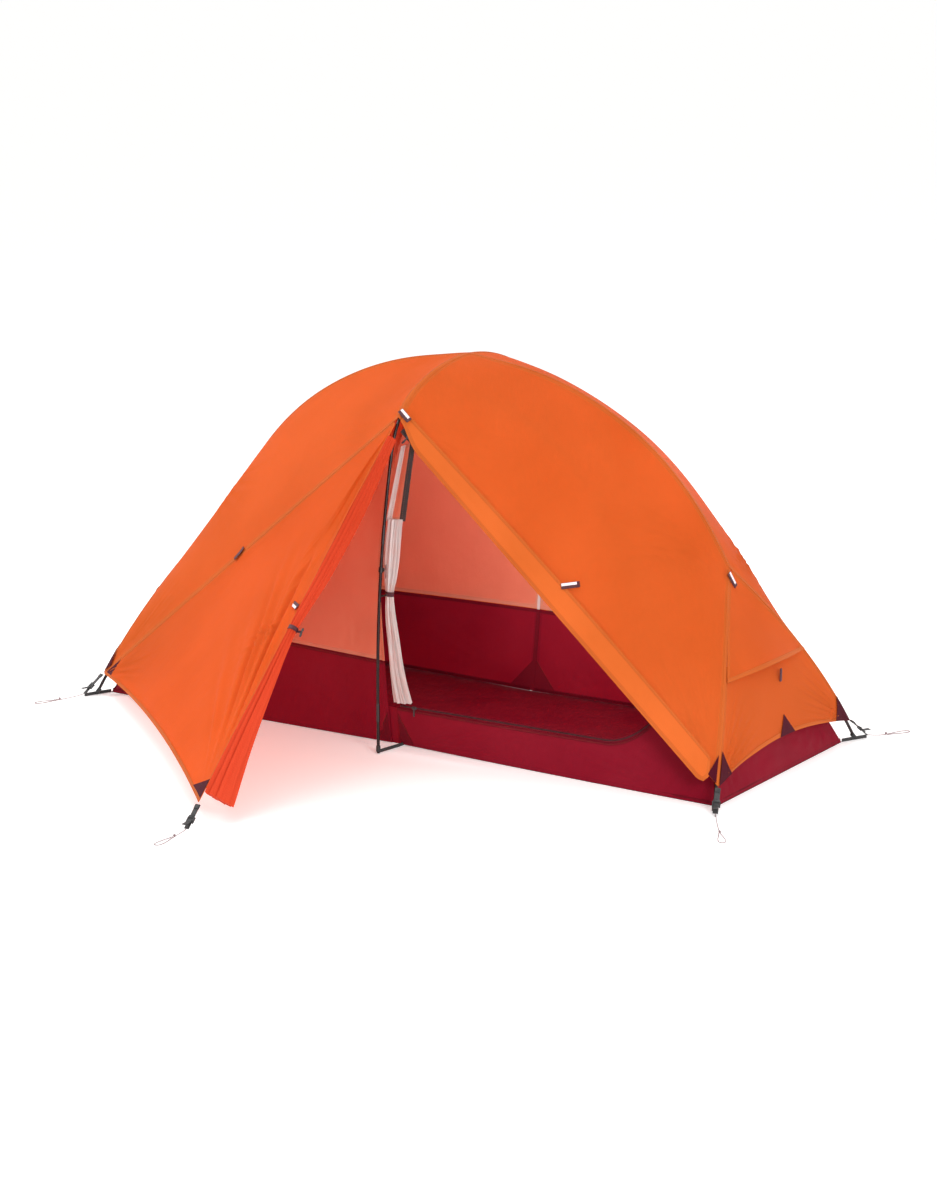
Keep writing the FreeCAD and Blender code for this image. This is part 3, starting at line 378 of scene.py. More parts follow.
class Sheet:
    """A grid of points on a sheet of cloth, with its lengths and outward normals."""

    def __init__(self, points, centre=INSIDE):
        self.points = np.array(points, float)
        self.centre = np.array(centre, float)
        self.measure()

    @classmethod
    def on(cls, surface, across_range, low, high, columns, rows, centre=INSIDE):
        """The part of a surface between a low and a high edge."""
        points = np.empty((columns, rows, 3))
        for i, u in enumerate(np.linspace(*across_range, columns)):
            bottom, top = low(float(u)), high(float(u))
            for j, v in enumerate(np.linspace(bottom, top, rows)):
                points[i, j] = surface(float(u), float(v))
        return cls(points, centre)

    def measure(self):
        """Work out the lengths across and up the sheet, and its normals."""
        step_across = np.linalg.norm(np.diff(self.points, axis=0), axis=2)
        step_up = np.linalg.norm(np.diff(self.points, axis=1), axis=2)
        self.across = np.pad(np.cumsum(step_across, 0), ((1, 0), (0, 0)))
        self.up = np.pad(np.cumsum(step_up, 1), ((0, 0), (1, 0)))
        normals = unit_rows(np.cross(np.gradient(self.points, axis=0), np.gradient(self.points, axis=1)))
        middle = tuple(n // 2 for n in self.points.shape[:2])
        self.flipped = np.dot(normals[middle], self.points[middle] - self.centre) < 0
        self.normals = -normals if self.flipped else normals

    def edge_distances(self):
        """Distances to the left, right, low and high edges."""
        return {"left": self.across, "right": self.across[-1] - self.across,
                "low": self.up, "high": self.up[:, -1:] - self.up}

    def nearest_edge(self, edges=("left", "right", "low", "high")):
        """Distance to the nearest of some edges."""
        distances = self.edge_distances()
        return np.min([distances[edge] for edge in edges], axis=0)

    def shift(self, heights, margin=0.05, edges=("left", "right", "low", "high")):
        """Move the sheet along its normals, fading out at the edges that are sewn down."""
        fade = smooth_step(self.nearest_edge(edges), 0.0, margin) if edges else 1.0
        self.points += self.normals * (heights * fade)[..., None]
        self.measure()
        return self

    def flat_size(self):
        """Width, length and area before the cloth was hung."""
        p = self.points
        halves = np.linalg.norm(np.cross(p[1:, :-1] - p[:-1, :-1], p[:-1, 1:] - p[:-1, :-1]), axis=2)
        halves += np.linalg.norm(np.cross(p[:-1, 1:] - p[1:, 1:], p[1:, :-1] - p[1:, 1:]), axis=2)
        width, length = float(self.across[-1].max()), float(self.up[:, -1].max())
        return width, length, min(float(halves.sum() / 2), width * length)


def fan(sheet, centre, towards, folds, depth, near, far, spread, fine=0.3):
    """Tension folds that radiate from a point of a sheet, heights over it.

    There are folds to each radian, at their deepest between near and far, and none beyond spread
    radians to each side of the line towards a second point.  Fine is the share of narrow folds.
    """
    centre, towards = np.array(centre, float), np.array(towards, float)
    axis = unit_rows(towards - centre)
    away = sheet.points - centre
    sideways = unit_rows(np.cross(sheet.normals, axis))
    angle = np.arctan2((away * sideways).sum(-1), (away * axis).sum(-1))
    reach = np.linalg.norm(away, axis=-1)
    body = smooth_step(reach, 0, near) * (1 - smooth_step(reach, near, far))
    window = np.clip(1 - (angle / spread) ** 2, 0, 1) ** 1.5
    turn = angle * folds * 2 * math.pi
    wave = np.sin(turn) + 0.55 * np.sin(turn * 1.63 + 1.1) + fine * np.sin(turn * 2.71 + 0.4)
    return depth * wave * body * window


def billow(sheet, length, depth, seed):
    """Soft random swells of a sheet, heights over it."""
    result = np.empty(sheet.points.shape[:2])
    shift = Vector((seed * 3.7, seed * 1.9, seed * 5.3))
    for index in np.ndindex(*result.shape):
        result[index] = noise.noise(Vector(sheet.points[index]) / length + shift)
    return result * depth


def mesh_object(name, mesh, finish):
    """An object at the origin that holds a mesh with one finish."""
    mesh.materials.clear()
    mesh.materials.append(finish)
    piece = bpy.data.objects.new(name, mesh)
    bpy.context.scene.collection.objects.link(piece)
    return piece


def closed_sheet(name, sheet, thickness, finish, sewn=("left", "right", "low", "high")):
    """A sheet with its two faces and its four edges, its lengths as UVs and the distance to its seams."""
    columns, rows = sheet.points.shape[:2]
    outer = sheet.points.reshape(-1, 3)
    inner = (sheet.points - sheet.normals * thickness).reshape(-1, 3)
    index = np.arange(columns * rows).reshape(columns, rows)
    quads = np.stack([index[:-1, :-1], index[1:, :-1], index[1:, 1:], index[:-1, 1:]], -1).reshape(-1, 4)
    ring = np.concatenate([index[:, 0], index[-1, 1:], index[-2::-1, -1], index[0, -2:0:-1]])
    after = np.roll(ring, -1)
    count = columns * rows
    rim = np.stack([after, ring, ring + count, after + count], -1)
    if sheet.flipped:
        faces = np.concatenate([quads[:, ::-1], quads + count, rim[:, ::-1]])
    else:
        faces = np.concatenate([quads, quads[:, ::-1] + count, rim])
    mesh = bpy.data.meshes.new(name)
    mesh.from_pydata(np.concatenate([outer, inner]).tolist(), [], faces.tolist())
    lengths = np.stack([sheet.across - sheet.across[-1:] / 2, sheet.up], -1).reshape(-1, 2)
    lengths = np.concatenate([lengths, lengths])
    layer = mesh.uv_layers.new(name="cut")
    corners = np.empty(len(mesh.loops), np.int32)
    mesh.loops.foreach_get("vertex_index", corners)
    layer.data.foreach_set("uv", lengths[corners].ravel())
    hem = np.tile(sheet.nearest_edge(sewn).ravel(), 2) if sewn else np.ones(2 * count)
    mesh.attributes.new("hem", "FLOAT", "POINT").data.foreach_set("value", hem)
    mesh.shade_smooth()
    mesh.set_sharp_from_angle(angle=math.radians(60))
    mesh.update()
    return mesh_object(name, mesh, finish)


def settle(piece, nodes=(), body=BODY):
    """Give a finished piece its body, and hide the nodes that it stands for."""
    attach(piece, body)
    if nodes:
        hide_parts(*nodes)
    return piece


def declare(piece, sheet):
    """Work out the width, length and area that a sheet was cut to; nothing is done with them."""
    width, length, area = sheet.flat_size()


def strip(name, lines, thickness, finish, centre=INSIDE):
    """A narrow closed band whose face is spanned by a few lines of points side by side."""
    sheet = Sheet(np.array([[tuple(point) for point in line] for line in lines]), centre)
    return closed_sheet(name, sheet, thickness, finish, ())


def lofted(name, rings, finish):
    """A closed skin through rings of points, with flat ends and its lengths as UVs."""
    rings = np.array(rings, float)
    count, around = rings.shape[:2]
    index = np.arange(count * around).reshape(count, around)
    turned = np.roll(index, -1, 1)
    sides = np.stack([index[:-1], turned[:-1], turned[1:], index[1:]], -1).reshape(-1, 4)
    mesh = bpy.data.meshes.new(name)
    mesh.from_pydata(rings.reshape(-1, 3).tolist(), [],
                     sides.tolist() + [index[0, ::-1].tolist(), index[-1].tolist()])
    step = np.linalg.norm(np.diff(rings, axis=0), axis=2).mean(1)
    along = np.concatenate([[0], np.cumsum(step)])
    girth = np.linalg.norm(np.roll(rings, -1, 1) - rings, axis=2).sum(1)
    angle = np.arange(around) / around
    lengths = np.stack([angle[None, :] * girth[:, None], np.repeat(along[:, None], around, 1)], -1)
    corners = np.empty(len(mesh.loops), np.int32)
    mesh.loops.foreach_get("vertex_index", corners)
    mesh.uv_layers.new(name="cut").data.foreach_set("uv", lengths.reshape(-1, 2)[corners].ravel())
    mesh.attributes.new("hem", "FLOAT", "POINT").data.foreach_set("value", np.ones(count * around))
    work = bmesh.new()
    work.from_mesh(mesh)
    bmesh.ops.recalc_face_normals(work, faces=work.faces)
    work.to_mesh(mesh)
    work.free()
    mesh.shade_smooth()
    mesh.set_sharp_from_angle(angle=math.radians(55))
    return mesh_object(name, mesh, finish)


def joined_solids(name, solids, finish, bevel=0.0, segments=2):
    """One mesh from several convex solids, each a list of corner points or a ready bmesh builder."""
    work = bmesh.new()
    for solid in solids:
        if callable(solid):
            solid(work)
            continue
        corners = [work.verts.new(point) for point in solid]
        hull = bmesh.ops.convex_hull(work, input=corners)
        bmesh.ops.delete(work, geom=hull["geom_interior"], context="VERTS")
    bmesh.ops.dissolve_limit(work, angle_limit=math.radians(1), verts=work.verts, edges=work.edges)
    bmesh.ops.recalc_face_normals(work, faces=work.faces)
    if bevel:
        sharp = [edge for edge in work.edges if edge.calc_face_angle(0) > math.radians(30)]
        bmesh.ops.bevel(work, geom=sharp, offset=bevel, segments=segments, profile=0.5,
                        affect="EDGES", clamp_overlap=True)
    mesh = bpy.data.meshes.new(name)
    work.to_mesh(mesh)
    work.free()
    mesh.shade_smooth()
    mesh.set_sharp_from_angle(angle=math.radians(40))
    return mesh_object(name, mesh, finish)


def block(place, low, high):
    """The eight corners of a box in a local frame."""
    return [place @ Vector((x, y, z)) for x in (low[0], high[0]) for y in (low[1], high[1])
            for z in (low[2], high[2])]


def round_bar(start, end, radius, sides=16):
    """The corner points of a round bar."""
    axis = (end - start).normalized()
    first = across(Vector((0.31, 0.52, 0.79)), axis)
    second = axis.cross(first)
    points = []
    for centre in (start, end):
        for i in range(sides):
            angle = 2 * math.pi * i / sides
            points.append(centre + (first * math.cos(angle) + second * math.sin(angle)) * radius)
    return points


def place_at(origin, along_z, towards_x):
    """A frame whose Z runs along one vector and whose X leans towards another."""
    z_axis = along_z.normalized()
    x_axis = across(towards_x, z_axis)
    y_axis = z_axis.cross(x_axis)
    turned = Matrix((x_axis, y_axis, z_axis)).transposed().to_4x4()
    return Matrix.Translation(origin) @ turned


# --------------------------------------------------------------------------- finishes
class Value:
    """A shader socket, so that a sum on it adds a Math node."""

    def __init__(self, finish, socket):
        self.finish = finish
        self.socket = socket

    def math(self, operation, *others):
        """The result of one Math node on this value and others."""
        return self.finish.node("ShaderNodeMath", {"operation": operation},
                                dict(enumerate((self,) + others)))

    def reflected(self, operation, other):
        """The result of a Math node whose first value is a plain number."""
        return self.finish.node("ShaderNodeMath", {"operation": operation}, {0: other, 1: self})

    def __add__(self, other):
        return self.math("ADD", other)

    def __radd__(self, other):
        return self.reflected("ADD", other)

    def __sub__(self, other):
        return self.math("SUBTRACT", other)

    def __rsub__(self, other):
        return self.reflected("SUBTRACT", other)

    def __mul__(self, other):
        return self.math("MULTIPLY", other)

    def __rmul__(self, other):
        return self.reflected("MULTIPLY", other)

    def __truediv__(self, other):
        return self.math("DIVIDE", other)

    def __lt__(self, other):
        return self.math("LESS_THAN", other)

    def __gt__(self, other):
        return self.math("GREATER_THAN", other)


class Finish:
    """A material that is built node by node."""

    def __init__(self, name):
        self.material = bpy.data.materials.new(name)
        self.material.use_nodes = True
        self.tree = self.material.node_tree
        self.tree.nodes.clear()

    def node(self, kind, settings=None, inputs=None, output=0):
        """Add a node, set it up, feed its sockets and return one of its outputs."""
        made = self.tree.nodes.new(kind)
        for name, setting in (settings or {}).items():
            if name == "stops":
                while len(made.color_ramp.elements) < len(setting):
                    made.color_ramp.elements.new(0.5)
                for element, (position, colour) in zip(made.color_ramp.elements, setting):
                    element.position = position
                    element.color = (*colour, 1)
            else:
                setattr(made, name, setting)
        for key, value in (inputs or {}).items():
            if isinstance(value, Value):
                self.tree.links.new(value.socket, made.inputs[key])
            else:
                made.inputs[key].default_value = value
        return Value(self, made.outputs[output])

    def place(self):
        """Where a point is on the tent."""
        return self.node("ShaderNodeTexCoord", output="Object")

    def cut(self):
        """How far across and up a point is on its own sheet."""
        return self.node("ShaderNodeUVMap", {"uv_map": "cut"})

    def axis(self, vector, name):
        """One number of a vector."""
        return self.node("ShaderNodeSeparateXYZ", inputs={0: vector}, output=name)

    def noise(self, where, scale, detail=2.0, roughness=0.5):
        """A cloudy pattern from 0 to 1."""
        return self.node("ShaderNodeTexNoise", inputs={"Vector": where, "Scale": scale, "Detail": detail,
                                                       "Roughness": roughness}, output="Fac")

    def stretched(self, where, scale):
        """A place with its axes scaled."""
        return self.node("ShaderNodeMapping", inputs={"Vector": where, "Scale": scale})

    def between(self, value, low, high):
        """A value brought from low and high to 0 and 1."""
        return self.node("ShaderNodeMapRange", inputs={0: value, 1: low, 2: high, 3: 0.0, 4: 1.0})

    def blend(self, share, first, second, how="MIX"):
        """A colour a share of the way from one to another."""
        first, second = (c if isinstance(c, Value) else (*c, 1) for c in (first, second))
        return self.node("ShaderNodeMix", {"data_type": "RGBA", "blend_type": how},
                         {0: share, 6: first, 7: second}, output=2)

    def bump(self, height, distance, strength=1.0, under=None):
        """A normal from a height from 0 to 1."""
        inputs = {"Height": height, "Distance": distance, "Strength": strength}
        if under:
            inputs["Normal"] = under
        return self.node("ShaderNodeBump", inputs=inputs)

    def surface(self, colour, roughness, metallic=0.0, normal=None, specular=0.5):
        """A Principled surface."""
        inputs = {"Base Color": colour if isinstance(colour, Value) else (*colour, 1),
                  "Roughness": roughness, "Metallic": metallic, "Specular IOR Level": specular}
        if normal:
            inputs["Normal"] = normal
        return self.node("ShaderNodeBsdfPrincipled", inputs=inputs)

    def done(self, shader):
        """Finish the material with this shader."""
        output = self.tree.nodes.new("ShaderNodeOutputMaterial")
        self.tree.links.new(shader.socket, output.inputs["Surface"])
        return self.material


def ripstop(finish, cut, cell):
    """Lines of thicker thread both ways, from 0 to 1."""
    lines = [(finish.axis(cut, name) * (1 / cell)).math("FRACT") < 0.13 for name in ("X", "Y")]
    return lines[0].math("MAXIMUM", lines[1])


def sewn_cloth(name, colour, through, share_through, cell, crinkle, roughness, doubled=0.72):
    """A thin woven cloth that lets light through and is doubled along its seams, with painted shade in creases
    near its seams and along its doubled hems.
    """
    f = Finish(name)
    place, cut = f.place(), f.cut()
    hem = f.node("ShaderNodeAttribute", {"attribute_name": "hem"}, output="Fac")
    fold_over = hem < 0.011
    near_seam = 1 - f.between(hem, 0.0, 0.07)
    threads = ripstop(f, cut, cell)
    cloudy = f.noise(place, 3.2, 3.0)
    creased = f.noise(f.stretched(cut, (26.0, 9.0, 1.0)), 1.0, 4.0, 0.62)
    fine = f.noise(f.stretched(cut, (900.0, 900.0, 1.0)), 1.0, 1.0)
    pale = [min(1.0, c * 1.05 + 0.004) for c in colour]
    deep = [c * 0.93 for c in colour]
    tint = f.blend(f.between(cloudy, 0.35, 0.65), deep, pale)
    tint = f.blend(threads * 0.22, tint, [c * 0.72 for c in colour])
    tint = f.blend(f.between(fine, 0.3, 0.7) * 0.10, tint, [c * 0.6 for c in colour])
    # Painted shade: creases near the seams are darkened along the crease pattern.
    tint = f.blend(near_seam * f.between(creased, 0.45, 0.75) * 0.25, tint, deep)
    # Painted shade: the doubled hem is darkened, standing in for the light it holds back; its translucency is cut
    # as well.
    tint = f.blend(fold_over * (1 - doubled), tint, [c * 0.45 for c in colour])
    relief = f.bump(creased, 0.0035 * crinkle, 0.55)
    relief = f.bump(f.noise(f.stretched(cut, (120.0, 120.0, 1.0)), 1.0, 2.0), 0.0005, 0.35 * crinkle, relief)
    relief = f.bump(threads, 0.00012, 0.5, relief)
    body = f.surface(tint, f.between(creased, 0.2, 0.8) * 0.12 + (roughness - 0.06), normal=relief,
                     specular=0.04)
    glow = f.node("ShaderNodeBsdfTranslucent", inputs={"Color": (*through, 1), "Normal": relief})
    share = (1 - fold_over * 0.45) * share_through
    return f.done(f.node("ShaderNodeMixShader", inputs={0: share, 1: body, 2: glow}))


def netting(name, colour):
    """Fine white netting, in many soft layers, with painted shade in its folds."""
    f = Finish(name)
    place, cut = f.place(), f.cut()
    folds = f.noise(f.stretched(cut, (90.0, 7.0, 1.0)), 1.0, 3.0, 0.6)
    knots = ((f.axis(cut, "X") * 4200.0).math("SINE") * (f.axis(cut, "Y") * 4200.0).math("SINE"))
    # Painted shade: the netting is darker in the valleys of its folds.
    tint = f.blend(f.between(folds, 0.3, 0.7), [c * 0.78 for c in colour], colour)
    tint = f.blend(f.between(f.noise(place, 30.0), 0.4, 0.7) * 0.35, tint, (0.80, 0.50, 0.45))
    relief = f.bump(folds, 0.004, 0.8)
    relief = f.bump(knots, 0.0002, 0.4, relief)
    body = f.surface(tint, 0.8, normal=relief)
    glow = f.node("ShaderNodeBsdfTranslucent", inputs={"Color": (*colour, 1), "Normal": relief})
    return f.done(f.node("ShaderNodeMixShader", inputs={0: 0.35, 1: body, 2: glow}))


def woven_tape(name, colour, rib, shine=0.55, wear=0.12):
    """Narrow woven webbing with ribs across it, painted shade between the ribs and paler worn edges."""
    f = Finish(name)
    place, cut = f.place(), f.cut()
    ribs = (f.axis(cut, "Y") * (2 * math.pi / rib)).math("SINE") * 0.5 + 0.5
    cross = (f.axis(cut, "X") * (2 * math.pi / (rib * 0.8))).math("SINE") * 0.5 + 0.5
    dusty = f.between(f.noise(place, 60.0, 3.0), 0.45, 0.75)
    worn = [min(1.0, c + wear) for c in colour]
    tint = f.blend(dusty * 0.35, colour, worn)
    # Painted shade in the grooves between the ribs.
    tint = f.blend((1 - ribs) * 0.45, tint, [c * 0.4 for c in colour])
    relief = f.bump(ribs * 0.7 + cross * 0.3, 0.00035, 0.8)
    return f.done(f.surface(tint, shine + 0.1 * ribs, normal=relief))


def moulded(name, colour, roughness, grain=0.00008):
    """Moulded plastic with a fine grain and rubbed edges."""
    f = Finish(name)
    place = f.place()
    speck = f.noise(place, 900.0, 2.0)
    rubbed = f.between(f.noise(place, 70.0, 4.0, 0.65), 0.52, 0.72)
    tint = f.blend(rubbed * 0.4, colour, [min(1.0, c * 1.6 + 0.02) for c in colour])
    relief = f.bump(speck, grain, 0.5)
    return f.done(f.surface(tint, rubbed * 0.14 + roughness, normal=relief))


def anodised(name, colour, roughness):
    """Anodised tube, drawn lengthwise and a little scuffed."""
    f = Finish(name)
    place = f.place()
    drawn = f.noise(f.stretched(place, (300.0, 300.0, 40.0)), 1.0, 2.0)
    scuffs = f.between(f.noise(place, 45.0, 5.0, 0.7), 0.56, 0.70)
    tint = f.blend(scuffs * 0.35, colour, [min(1.0, c * 1.8 + 0.05) for c in colour])
    relief = f.bump(drawn, 0.00003, 0.4)
    return f.done(f.surface(tint, scuffs * 0.2 + roughness, metallic=0.85, normal=relief))


def cast_metal(name, colour, roughness):
    """Small die-cast zip metal."""
    f = Finish(name)
    place = f.place()
    tarnish = f.between(f.noise(place, 220.0, 3.0), 0.4, 0.7)
    tint = f.blend(tarnish * 0.5, colour, [c * 0.55 for c in colour])
    relief = f.bump(f.noise(place, 1400.0, 2.0), 0.00004, 0.5)
    return f.done(f.surface(tint, tarnish * 0.15 + roughness, metallic=0.9, normal=relief))


def braid(name, colour, fleck):
    """Braided cord with a lighter tracer thread, its pattern along the cord's own UVs."""
    f = Finish(name)
    place = f.place()
    twist = f.node("ShaderNodeTexWave", {"wave_type": "BANDS", "bands_direction": "DIAGONAL"},
                   {"Vector": place, "Scale": 260.0, "Distortion": 1.5, "Detail": 1.0}, output="Fac")
    strands = f.noise(place, 900.0, 2.0)
    tint = f.blend(f.between(twist, 0.72, 0.9), colour, fleck)
    tint = f.blend(f.between(strands, 0.4, 0.7) * 0.3, tint, [c * 0.6 for c in colour])
    relief = f.bump(twist * 0.6 + strands * 0.4, 0.0003, 0.7)
    return f.done(f.surface(tint, 0.72, normal=relief))


def reflective(name):
    """Silver-white reflective tape with its fine grid."""
    f = Finish(name)
    place = f.place()
    cells = f.node("ShaderNodeTexVoronoi", inputs={"Vector": place, "Scale": 700.0}, output="Distance")
    tint = f.blend(f.between(cells, 0.2, 0.6), (0.93, 0.86, 0.88), (0.70, 0.58, 0.62))
    return f.done(f.surface(tint, f.between(cells, 0.0, 0.8) * 0.15 + 0.3,
                            normal=f.bump(cells, 0.0001, 0.5)))


@functools.cache
def finish(name):
    """One of the tent's materials, made when it is first asked for."""
    colours = bpy.context.scene.tent_colours
    makers = {
        "fly": lambda: sewn_cloth("fly_ripstop", colours.fly, colours.fly_glow, 0.48, 0.006, 0.8, 0.50),
        "end": lambda: sewn_cloth("end_ripstop", colours.fly, colours.fly_glow, 0.48, 0.006, 0.3, 0.50),
        "porch": lambda: sewn_cloth("porch_ripstop", colours.fly, colours.fly_glow, 0.54, 0.006, 1.6, 0.50),
        # The rolled porch door is the fly's cloth painted darker and redder: painted shade of its gathered layers.
        "roll": lambda: sewn_cloth("rolled_porch_ripstop_painted_shade", colours.roll, colours.roll, 0.20, 0.006, 1.2, 0.50),
        "flap": lambda: sewn_cloth("flap_ripstop", colours.fly, colours.fly_glow, 0.26, 0.006, 0.8, 0.46),
        # Seams and hems: the fly's cloth at 0.82 of its colour, painted shade where doubled cloth lets less light
        # through.
        "seam": lambda: sewn_cloth("seam_ripstop_painted_shade", [c * 0.82 for c in colours.fly], colours.fly_glow, 0.2,
                                   0.006, 0.6, 0.5),
        "tub": lambda: sewn_cloth("tub_taffeta", colours.tub, colours.tub_glow, 0.30, 0.004, 1.2, 0.40),
        # Floor: the tub's colour halved, painted shade inside the tent.
        "floor": lambda: sewn_cloth("floor_taffeta_painted_shade", [c * 0.5 for c in colours.tub], colours.tub_glow, 0.05, 0.004, 1.4, 0.42),
        "tub_seam": lambda: sewn_cloth("tub_binding", [c * 0.5 for c in colours.tub], colours.tub_glow, 0.05,
                                       0.003, 0.6, 0.5),
        "patch": lambda: sewn_cloth("corner_reinforcement", colours.patch, colours.patch, 0.08, 0.003, 0.6, 0.5),
        # Inner wall: its salmon colour is partly the cloth's own orange and partly painted orange light from the
        # fly.
        "canopy": lambda: sewn_cloth("inner_nylon_painted_fly_light", colours.canopy, colours.canopy_glow, 0.62, 0.005, 1.0, 0.6),
        "mesh": lambda: netting("inner_netting", colours.netting),
        "webbing": lambda: woven_tape("black_webbing", colours.webbing, 0.0016),
        "red_webbing": lambda: woven_tape("dark_red_webbing", colours.patch, 0.0012, wear=0.05),
        "zip_tape": lambda: woven_tape("zip_tape", (0.035, 0.018, 0.018), 0.0009, 0.7, 0.04),
        "thread": lambda: woven_tape("stitching_thread", [c * 0.55 for c in colours.fly], 0.0006, 0.6, 0.1),
        "plastic": lambda: moulded("black_nylon", (0.016, 0.015, 0.016), 0.42),
        "coil": lambda: moulded("zip_coil", (0.022, 0.018, 0.018), 0.35, 0.00003),
        "pole": lambda: anodised("black_anodised_tube", colours.pole, 0.32),
        "ferrule": lambda: anodised("polished_ferrule", (0.055, 0.048, 0.050), 0.28),
        "metal": lambda: cast_metal("zip_metal", (0.10, 0.095, 0.10), 0.34),
        "cord": lambda: braid("reflective_cord", colours.cord, (0.46, 0.36, 0.37)),
        "reflective": lambda: reflective("reflective_tape"),
    }
    return makers[name]()


# --------------------------------------------------------------------------- what a user may change
def colour_setting(name, description, default):
    """A colour that a user can change."""
    return bpy.props.FloatVectorProperty(name=name, description=description, default=default,
                                         subtype="COLOR", size=3, min=0.0, max=1.0)


def length_setting(name, description, default):
    """A length in metres that a user can change."""
    return bpy.props.FloatProperty(name=name, description=description, default=default,
                                   unit="LENGTH", subtype="DISTANCE", min=0.0001, max=20.0, precision=4)


class TentColours(bpy.types.PropertyGroup):
    """Colours of the tent's cloth and trim."""
    fly: colour_setting("Fly", "Outside of the fly's cloth", (0.69, 0.146, 0.026))
    fly_glow: colour_setting("Fly glow", "Light that comes through the fly", (0.98, 0.31, 0.045))
    # Rolled door colour: a darker, redder fly colour, painted shade of the gathered layers.
    roll: colour_setting("Rolled door", "Many layers of the fly's cloth", (0.66, 0.060, 0.020))
    # Inner wall colour: partly the cloth's own orange, partly painted orange light from the fly.
    canopy: colour_setting("Inner wall", "Breathable wall of the inner tent", (0.82, 0.36, 0.24))
    canopy_glow: colour_setting("Inner glow", "Light that comes through it", (0.98, 0.58, 0.42))
    tub: colour_setting("Tub", "Waterproof floor and its wall", (0.27, 0.007, 0.023))
    tub_glow: colour_setting("Tub glow", "Light that comes through the tub's wall", (0.62, 0.02, 0.04))
    patch: colour_setting("Reinforcement", "Corner patches and tabs", (0.065, 0.003, 0.011))
    netting: colour_setting("Netting", "Netting of the inner door", (0.84, 0.76, 0.74))
    webbing: colour_setting("Webbing", "Corner webbing", (0.022, 0.020, 0.021))
    pole: colour_setting("Poles", "Anodised tube", (0.035, 0.026, 0.027))
    cord: colour_setting("Cord", "Pegging cord", (0.20, 0.115, 0.125))


class TentCloth(bpy.types.PropertyGroup):
    """Sizes of the cloth and its sewing."""
    thickness: length_setting("Cloth", "Thickness given to a sheet", 0.0008)
    seam_width: length_setting("Seam", "Half the width of a flat seam", 0.004)
    seam_thickness: length_setting("Seam thickness", "How far a flat seam stands up", 0.0009)
    stitch: length_setting("Stitch", "Length of a stitch", 0.0034)
    stitch_pitch: length_setting("Stitch pitch", "From one stitch to the next", 0.0062)
    stitch_width: length_setting("Thread", "Thickness of the thread", 0.0007)
    tooth_pitch: length_setting("Tooth pitch", "From one zip tooth to the next", 0.0022)


class TentTrim(bpy.types.PropertyGroup):
    """Sizes of the poles' fittings and of the webbing."""
    pole_section: length_setting("Pole section", "From one pole joint to the next", 0.41)
    ferrule: length_setting("Ferrule", "Length of a joint's sleeve", 0.052)
    strap_width: length_setting("Strap", "Width of the corner webbing", 0.015)
    strap_thickness: length_setting("Strap thickness", "Thickness of the corner webbing", 0.0016)
    tab_length: length_setting("Tab", "Length of a guy tab", 0.046)
    tab_width: length_setting("Tab width", "Width of a guy tab", 0.017)


class TentStage(bpy.types.PropertyGroup):
    """Where the camera stands."""
    azimuth: bpy.props.FloatProperty(name="Azimuth", description="Turn of the camera round the tent",
                                     default=math.radians(33.68), subtype="ANGLE")
    elevation: bpy.props.FloatProperty(name="Elevation", description="Height of the camera as an angle",
                                       default=math.radians(13.35), subtype="ANGLE")
    distance: length_setting("Distance", "From the camera to its target", 8.5326)
    lens: bpy.props.FloatProperty(name="Lens", description="Focal length in millimetres",
                                  default=86.62, min=10.0, max=300.0, subtype="DISTANCE_CAMERA")


# --------------------------------------------------------------------------- rows of small things
def row_tree(name, shape, material):
    """A node tree that sets small solids along every line of its mesh.

    The shape is CAPSULE, for stitches and zip coils, or SLEEVE, for pole joints.  Spacing is the
    distance from one to the next, and Length and Thickness are a solid's own sizes.
    """
    tree = bpy.data.node_groups.new(name, "GeometryNodeTree")
    face = tree.interface
    face.new_socket("Geometry", in_out="INPUT", socket_type="NodeSocketGeometry")
    for label, default in (("Spacing", 0.006), ("Length", 0.003), ("Thickness", 0.001)):
        socket = face.new_socket(label, in_out="INPUT", socket_type="NodeSocketFloat")
        socket.default_value = default
        socket.min_value = 0.0
    face.new_socket("Geometry", in_out="OUTPUT", socket_type="NodeSocketGeometry")
    nodes, links = tree.nodes, tree.links
    entry, leave = nodes.new("NodeGroupInput"), nodes.new("NodeGroupOutput")
    line = nodes.new("GeometryNodeMeshToCurve")
    spots = nodes.new("GeometryNodeCurveToPoints")
    spots.mode = "LENGTH"
    size = nodes.new("ShaderNodeCombineXYZ")
    if shape == "CAPSULE":
        solid = nodes.new("GeometryNodeMeshIcoSphere")
        solid.inputs["Radius"].default_value = 0.5
        solid.inputs["Subdivisions"].default_value = 1
    else:
        solid = nodes.new("GeometryNodeMeshCylinder")
        solid.inputs["Vertices"].default_value = 28
        solid.inputs["Radius"].default_value = 0.5
        solid.inputs["Depth"].default_value = 1.0
    place = nodes.new("GeometryNodeInstanceOnPoints")
    real = nodes.new("GeometryNodeRealizeInstances")
    paint = nodes.new("GeometryNodeSetMaterial")
    paint.inputs["Material"].default_value = material
    links.new(entry.outputs["Geometry"], line.inputs["Mesh"])
    links.new(line.outputs["Curve"], spots.inputs["Curve"])
    links.new(entry.outputs["Spacing"], spots.inputs["Length"])
    links.new(spots.outputs["Points"], place.inputs["Points"])
    links.new(spots.outputs["Rotation"], place.inputs["Rotation"])
    links.new(solid.outputs["Mesh"], place.inputs["Instance"])
    for axis in ("X", "Y"):
        links.new(entry.outputs["Thickness"], size.inputs[axis])
    links.new(entry.outputs["Length"], size.inputs["Z"])
    links.new(size.outputs["Vector"], place.inputs["Scale"])
    links.new(place.outputs["Instances"], real.inputs["Geometry"])
    links.new(real.outputs["Geometry"], paint.inputs["Geometry"])
    links.new(paint.outputs["Geometry"], leave.inputs["Geometry"])
    return tree


